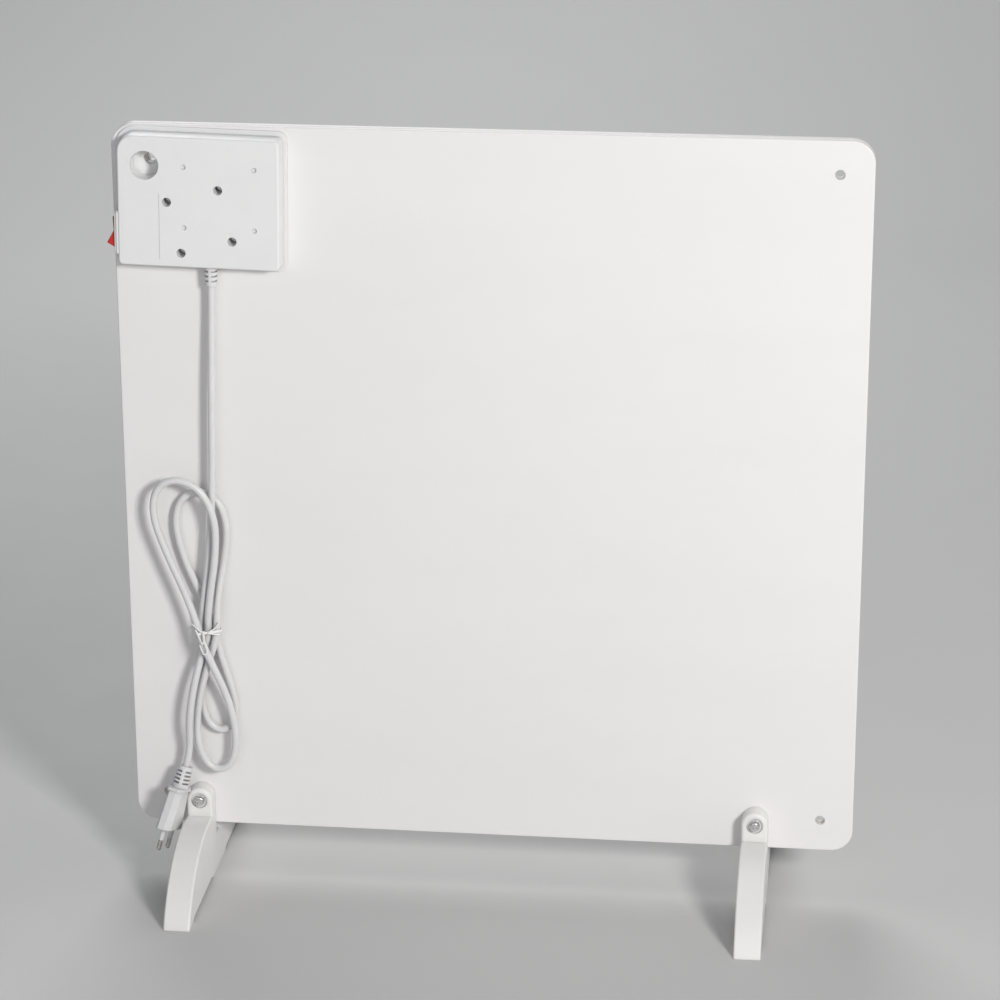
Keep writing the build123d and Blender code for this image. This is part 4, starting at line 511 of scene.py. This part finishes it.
tie_ends = [
    line_through(f"twist_tie_end_{side}", points, TIE_WIRE_DIA, tie_plastic)
    for side, points in TIE_ENDS.items()
]
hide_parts("twist_tie")

# Bare sticker on the box's face, with a thin grey strip of painted shade along its cut edge
BOX_MIDDLE = Vector((228.0, 6.0, 583.3))
BOX_TURN = math.radians(1.13)
BOX_RIGHT = Vector((-math.cos(BOX_TURN), 0.0, -math.sin(BOX_TURN)))
BOX_UP = Vector((-math.sin(BOX_TURN), 0.0, math.cos(BOX_TURN)))
BOX_OUT = Vector((0.0, 1.0, 0.0))
BOX_FACE = 18.0
STICKER_LEFT = -61.0
STICKER_RIGHT = -31.5
STICKER_BOTTOM = -46.7
STICKER_TOP = 7.0
STICKER_THICK = 0.1
EDGE_SHADE_WIDTH = 0.45
STICKER_SINK = 0.05


def face_plate(name, left, right, bottom, top, thick, finish):
    """A thin plate on the box's face, given in the box's own directions."""
    corners = [(left, bottom), (right, bottom), (right, top), (left, top)]
    plate = bmesh.new()
    rings = []
    for out in (BOX_FACE - STICKER_SINK, BOX_FACE + thick):
        ring = []
        for u, v in corners:
            spot = BOX_MIDDLE + BOX_RIGHT * u + BOX_UP * v + BOX_OUT * out
            ring.append(plate.verts.new(spot * MM))
        rings.append(ring)
    plate.faces.new(rings[1])
    plate.faces.new(reversed(rings[0]))
    for i in range(4):
        j = (i + 1) % 4
        plate.faces.new((rings[0][i], rings[0][j], rings[1][j], rings[1][i]))
    bmesh.ops.recalc_face_normals(plate, faces=plate.faces)
    mesh = bpy.data.meshes.new(name)
    plate.to_mesh(mesh)
    plate.free()
    mesh.materials.append(finish)
    obj = bpy.data.objects.new(name, mesh)
    bpy.context.scene.collection.objects.link(obj)
    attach(obj, BODY)
    return obj


sticker_paper = surface("sticker_paper", COOL_WHITE, 0.4, mottle=0.012, mottle_scale=30.0)
# Grey of the painted shade line along the sticker's cut edge
sticker_edge_shade = surface("sticker_edge_shade", (0.50, 0.50, 0.49), 0.5, mottle=0.1, mottle_scale=400.0)
face_plate(
    "bare_sticker", STICKER_LEFT, STICKER_RIGHT, STICKER_BOTTOM, STICKER_TOP, STICKER_THICK, sticker_paper
)
face_plate(
    "bare_sticker_edge_shade", STICKER_RIGHT, STICKER_RIGHT + EDGE_SHADE_WIDTH, STICKER_BOTTOM, STICKER_TOP,
    STICKER_THICK / 2, sticker_edge_shade,
)

# Floor and backdrop in one curved sheet
FLOOR_HALF = 6.0
FLOOR_BACK = -3.2
COVE_RADIUS = 1.2
COVE_STEPS = 24
WALL_TOP = 5.0
profile = [(FLOOR_HALF, 0.0), (FLOOR_BACK + COVE_RADIUS, 0.0)]
for step in range(1, COVE_STEPS + 1):
    turn = math.pi / 2 * step / COVE_STEPS
    profile.append(
        (FLOOR_BACK + COVE_RADIUS * (1 - math.sin(turn)), COVE_RADIUS * (1 - math.cos(turn)))
    )
profile.append((FLOOR_BACK, WALL_TOP))
cove_mesh = bpy.data.meshes.new("studio_floor")
cove = bmesh.new()
rows = [
    [cove.verts.new((x, y, z)) for x in (-FLOOR_HALF, FLOOR_HALF)] for y, z in profile
]
for (a, b), (c, d) in zip(rows, rows[1:]):
    face = cove.faces.new((a, b, d, c))
    face.smooth = True
cove.normal_update()
cove.to_mesh(cove_mesh)
cove.free()
floor = bpy.data.objects.new("studio_floor", cove_mesh)
bpy.context.scene.collection.objects.link(floor)
cove_mesh.materials.append(
    surface("studio_sweep", STUDIO_GREY, 0.75, mottle=0.01, mottle_scale=1.5, grain_scale=60.0)
)

# Light: a small key from the photograph's right and above, a wide weak fill, a light on the
# panel's front, and a pale room
ROOM_COLOUR = (0.93, 0.95, 1.0, 1.0)
ROOM_STRENGTH = 0.25
KEY_PLACE = (-1.5, 2.3, 1.45)
KEY_SIZE = 0.5
KEY_POWER = 60.0
KEY_COLOUR = (1.0, 0.985, 0.975)
FILL_PLACE = (0.6, 3.2, 1.5)
FILL_SIZE = 2.0
FILL_POWER = 13.0
FILL_COLOUR = (0.96, 0.98, 1.0)
FRONT_PLACE = (0.6, -2.2, 2.2)
FRONT_SIZE = 1.6
FRONT_POWER = 40.0
FRONT_COLOUR = (1.0, 1.0, 1.0)

world = bpy.data.worlds.new("studio_world")
bpy.context.scene.world = world
world.use_nodes = True
room = world.node_tree.nodes["Background"]
room.inputs["Color"].default_value = ROOM_COLOUR
room.inputs["Strength"].default_value = ROOM_STRENGTH


def soft_box(name, place, target, size, power, colour):
    """A square studio light that looks at a point."""
    lamp = bpy.data.lights.new(name, "AREA")
    lamp.shape = "SQUARE"
    lamp.size = size
    lamp.energy = power
    lamp.color = colour
    obj = bpy.data.objects.new(name, lamp)
    obj.location = place
    way = Vector(target) - Vector(place)
    obj.rotation_mode = "QUATERNION"
    obj.rotation_quaternion = way.to_track_quat("-Z", "Y")
    bpy.context.scene.collection.objects.link(obj)
    return obj


PANEL_MIDDLE = (0.0, 0.0, 0.35)
soft_box("key_light", KEY_PLACE, PANEL_MIDDLE, KEY_SIZE, KEY_POWER, KEY_COLOUR)
soft_box("fill_light", FILL_PLACE, PANEL_MIDDLE, FILL_SIZE, FILL_POWER, FILL_COLOUR)
soft_box("front_light", FRONT_PLACE, PANEL_MIDDLE, FRONT_SIZE, FRONT_POWER, FRONT_COLOUR)

# Camera at the photograph's angle
yaw = math.radians(CAMERA_YAW)
pitch = math.radians(CAMERA_PITCH)
roll = math.radians(CAMERA_ROLL)
look = Vector(
    (math.sin(yaw) * math.cos(pitch), -math.cos(yaw) * math.cos(pitch), -math.sin(pitch))
)
level = look.cross(Vector((0, 0, 1))).normalized()
upward = level.cross(look)
right = level * math.cos(roll) + upward * math.sin(roll)
over = upward * math.cos(roll) - level * math.sin(roll)
lens = bpy.data.cameras.new("photo_camera")
lens.sensor_width = SENSOR_WIDTH
lens.lens = FOCAL_PIXELS * SENSOR_WIDTH / PHOTO_SIDE
camera = bpy.data.objects.new("photo_camera", lens)
turned = Matrix((right, over, -look)).transposed().to_4x4()
camera.matrix_world = Matrix.Translation(CAMERA_PLACE) @ turned
bpy.context.scene.collection.objects.link(camera)

scene = bpy.context.scene
scene.camera = camera
scene.view_settings.view_transform = "Standard"
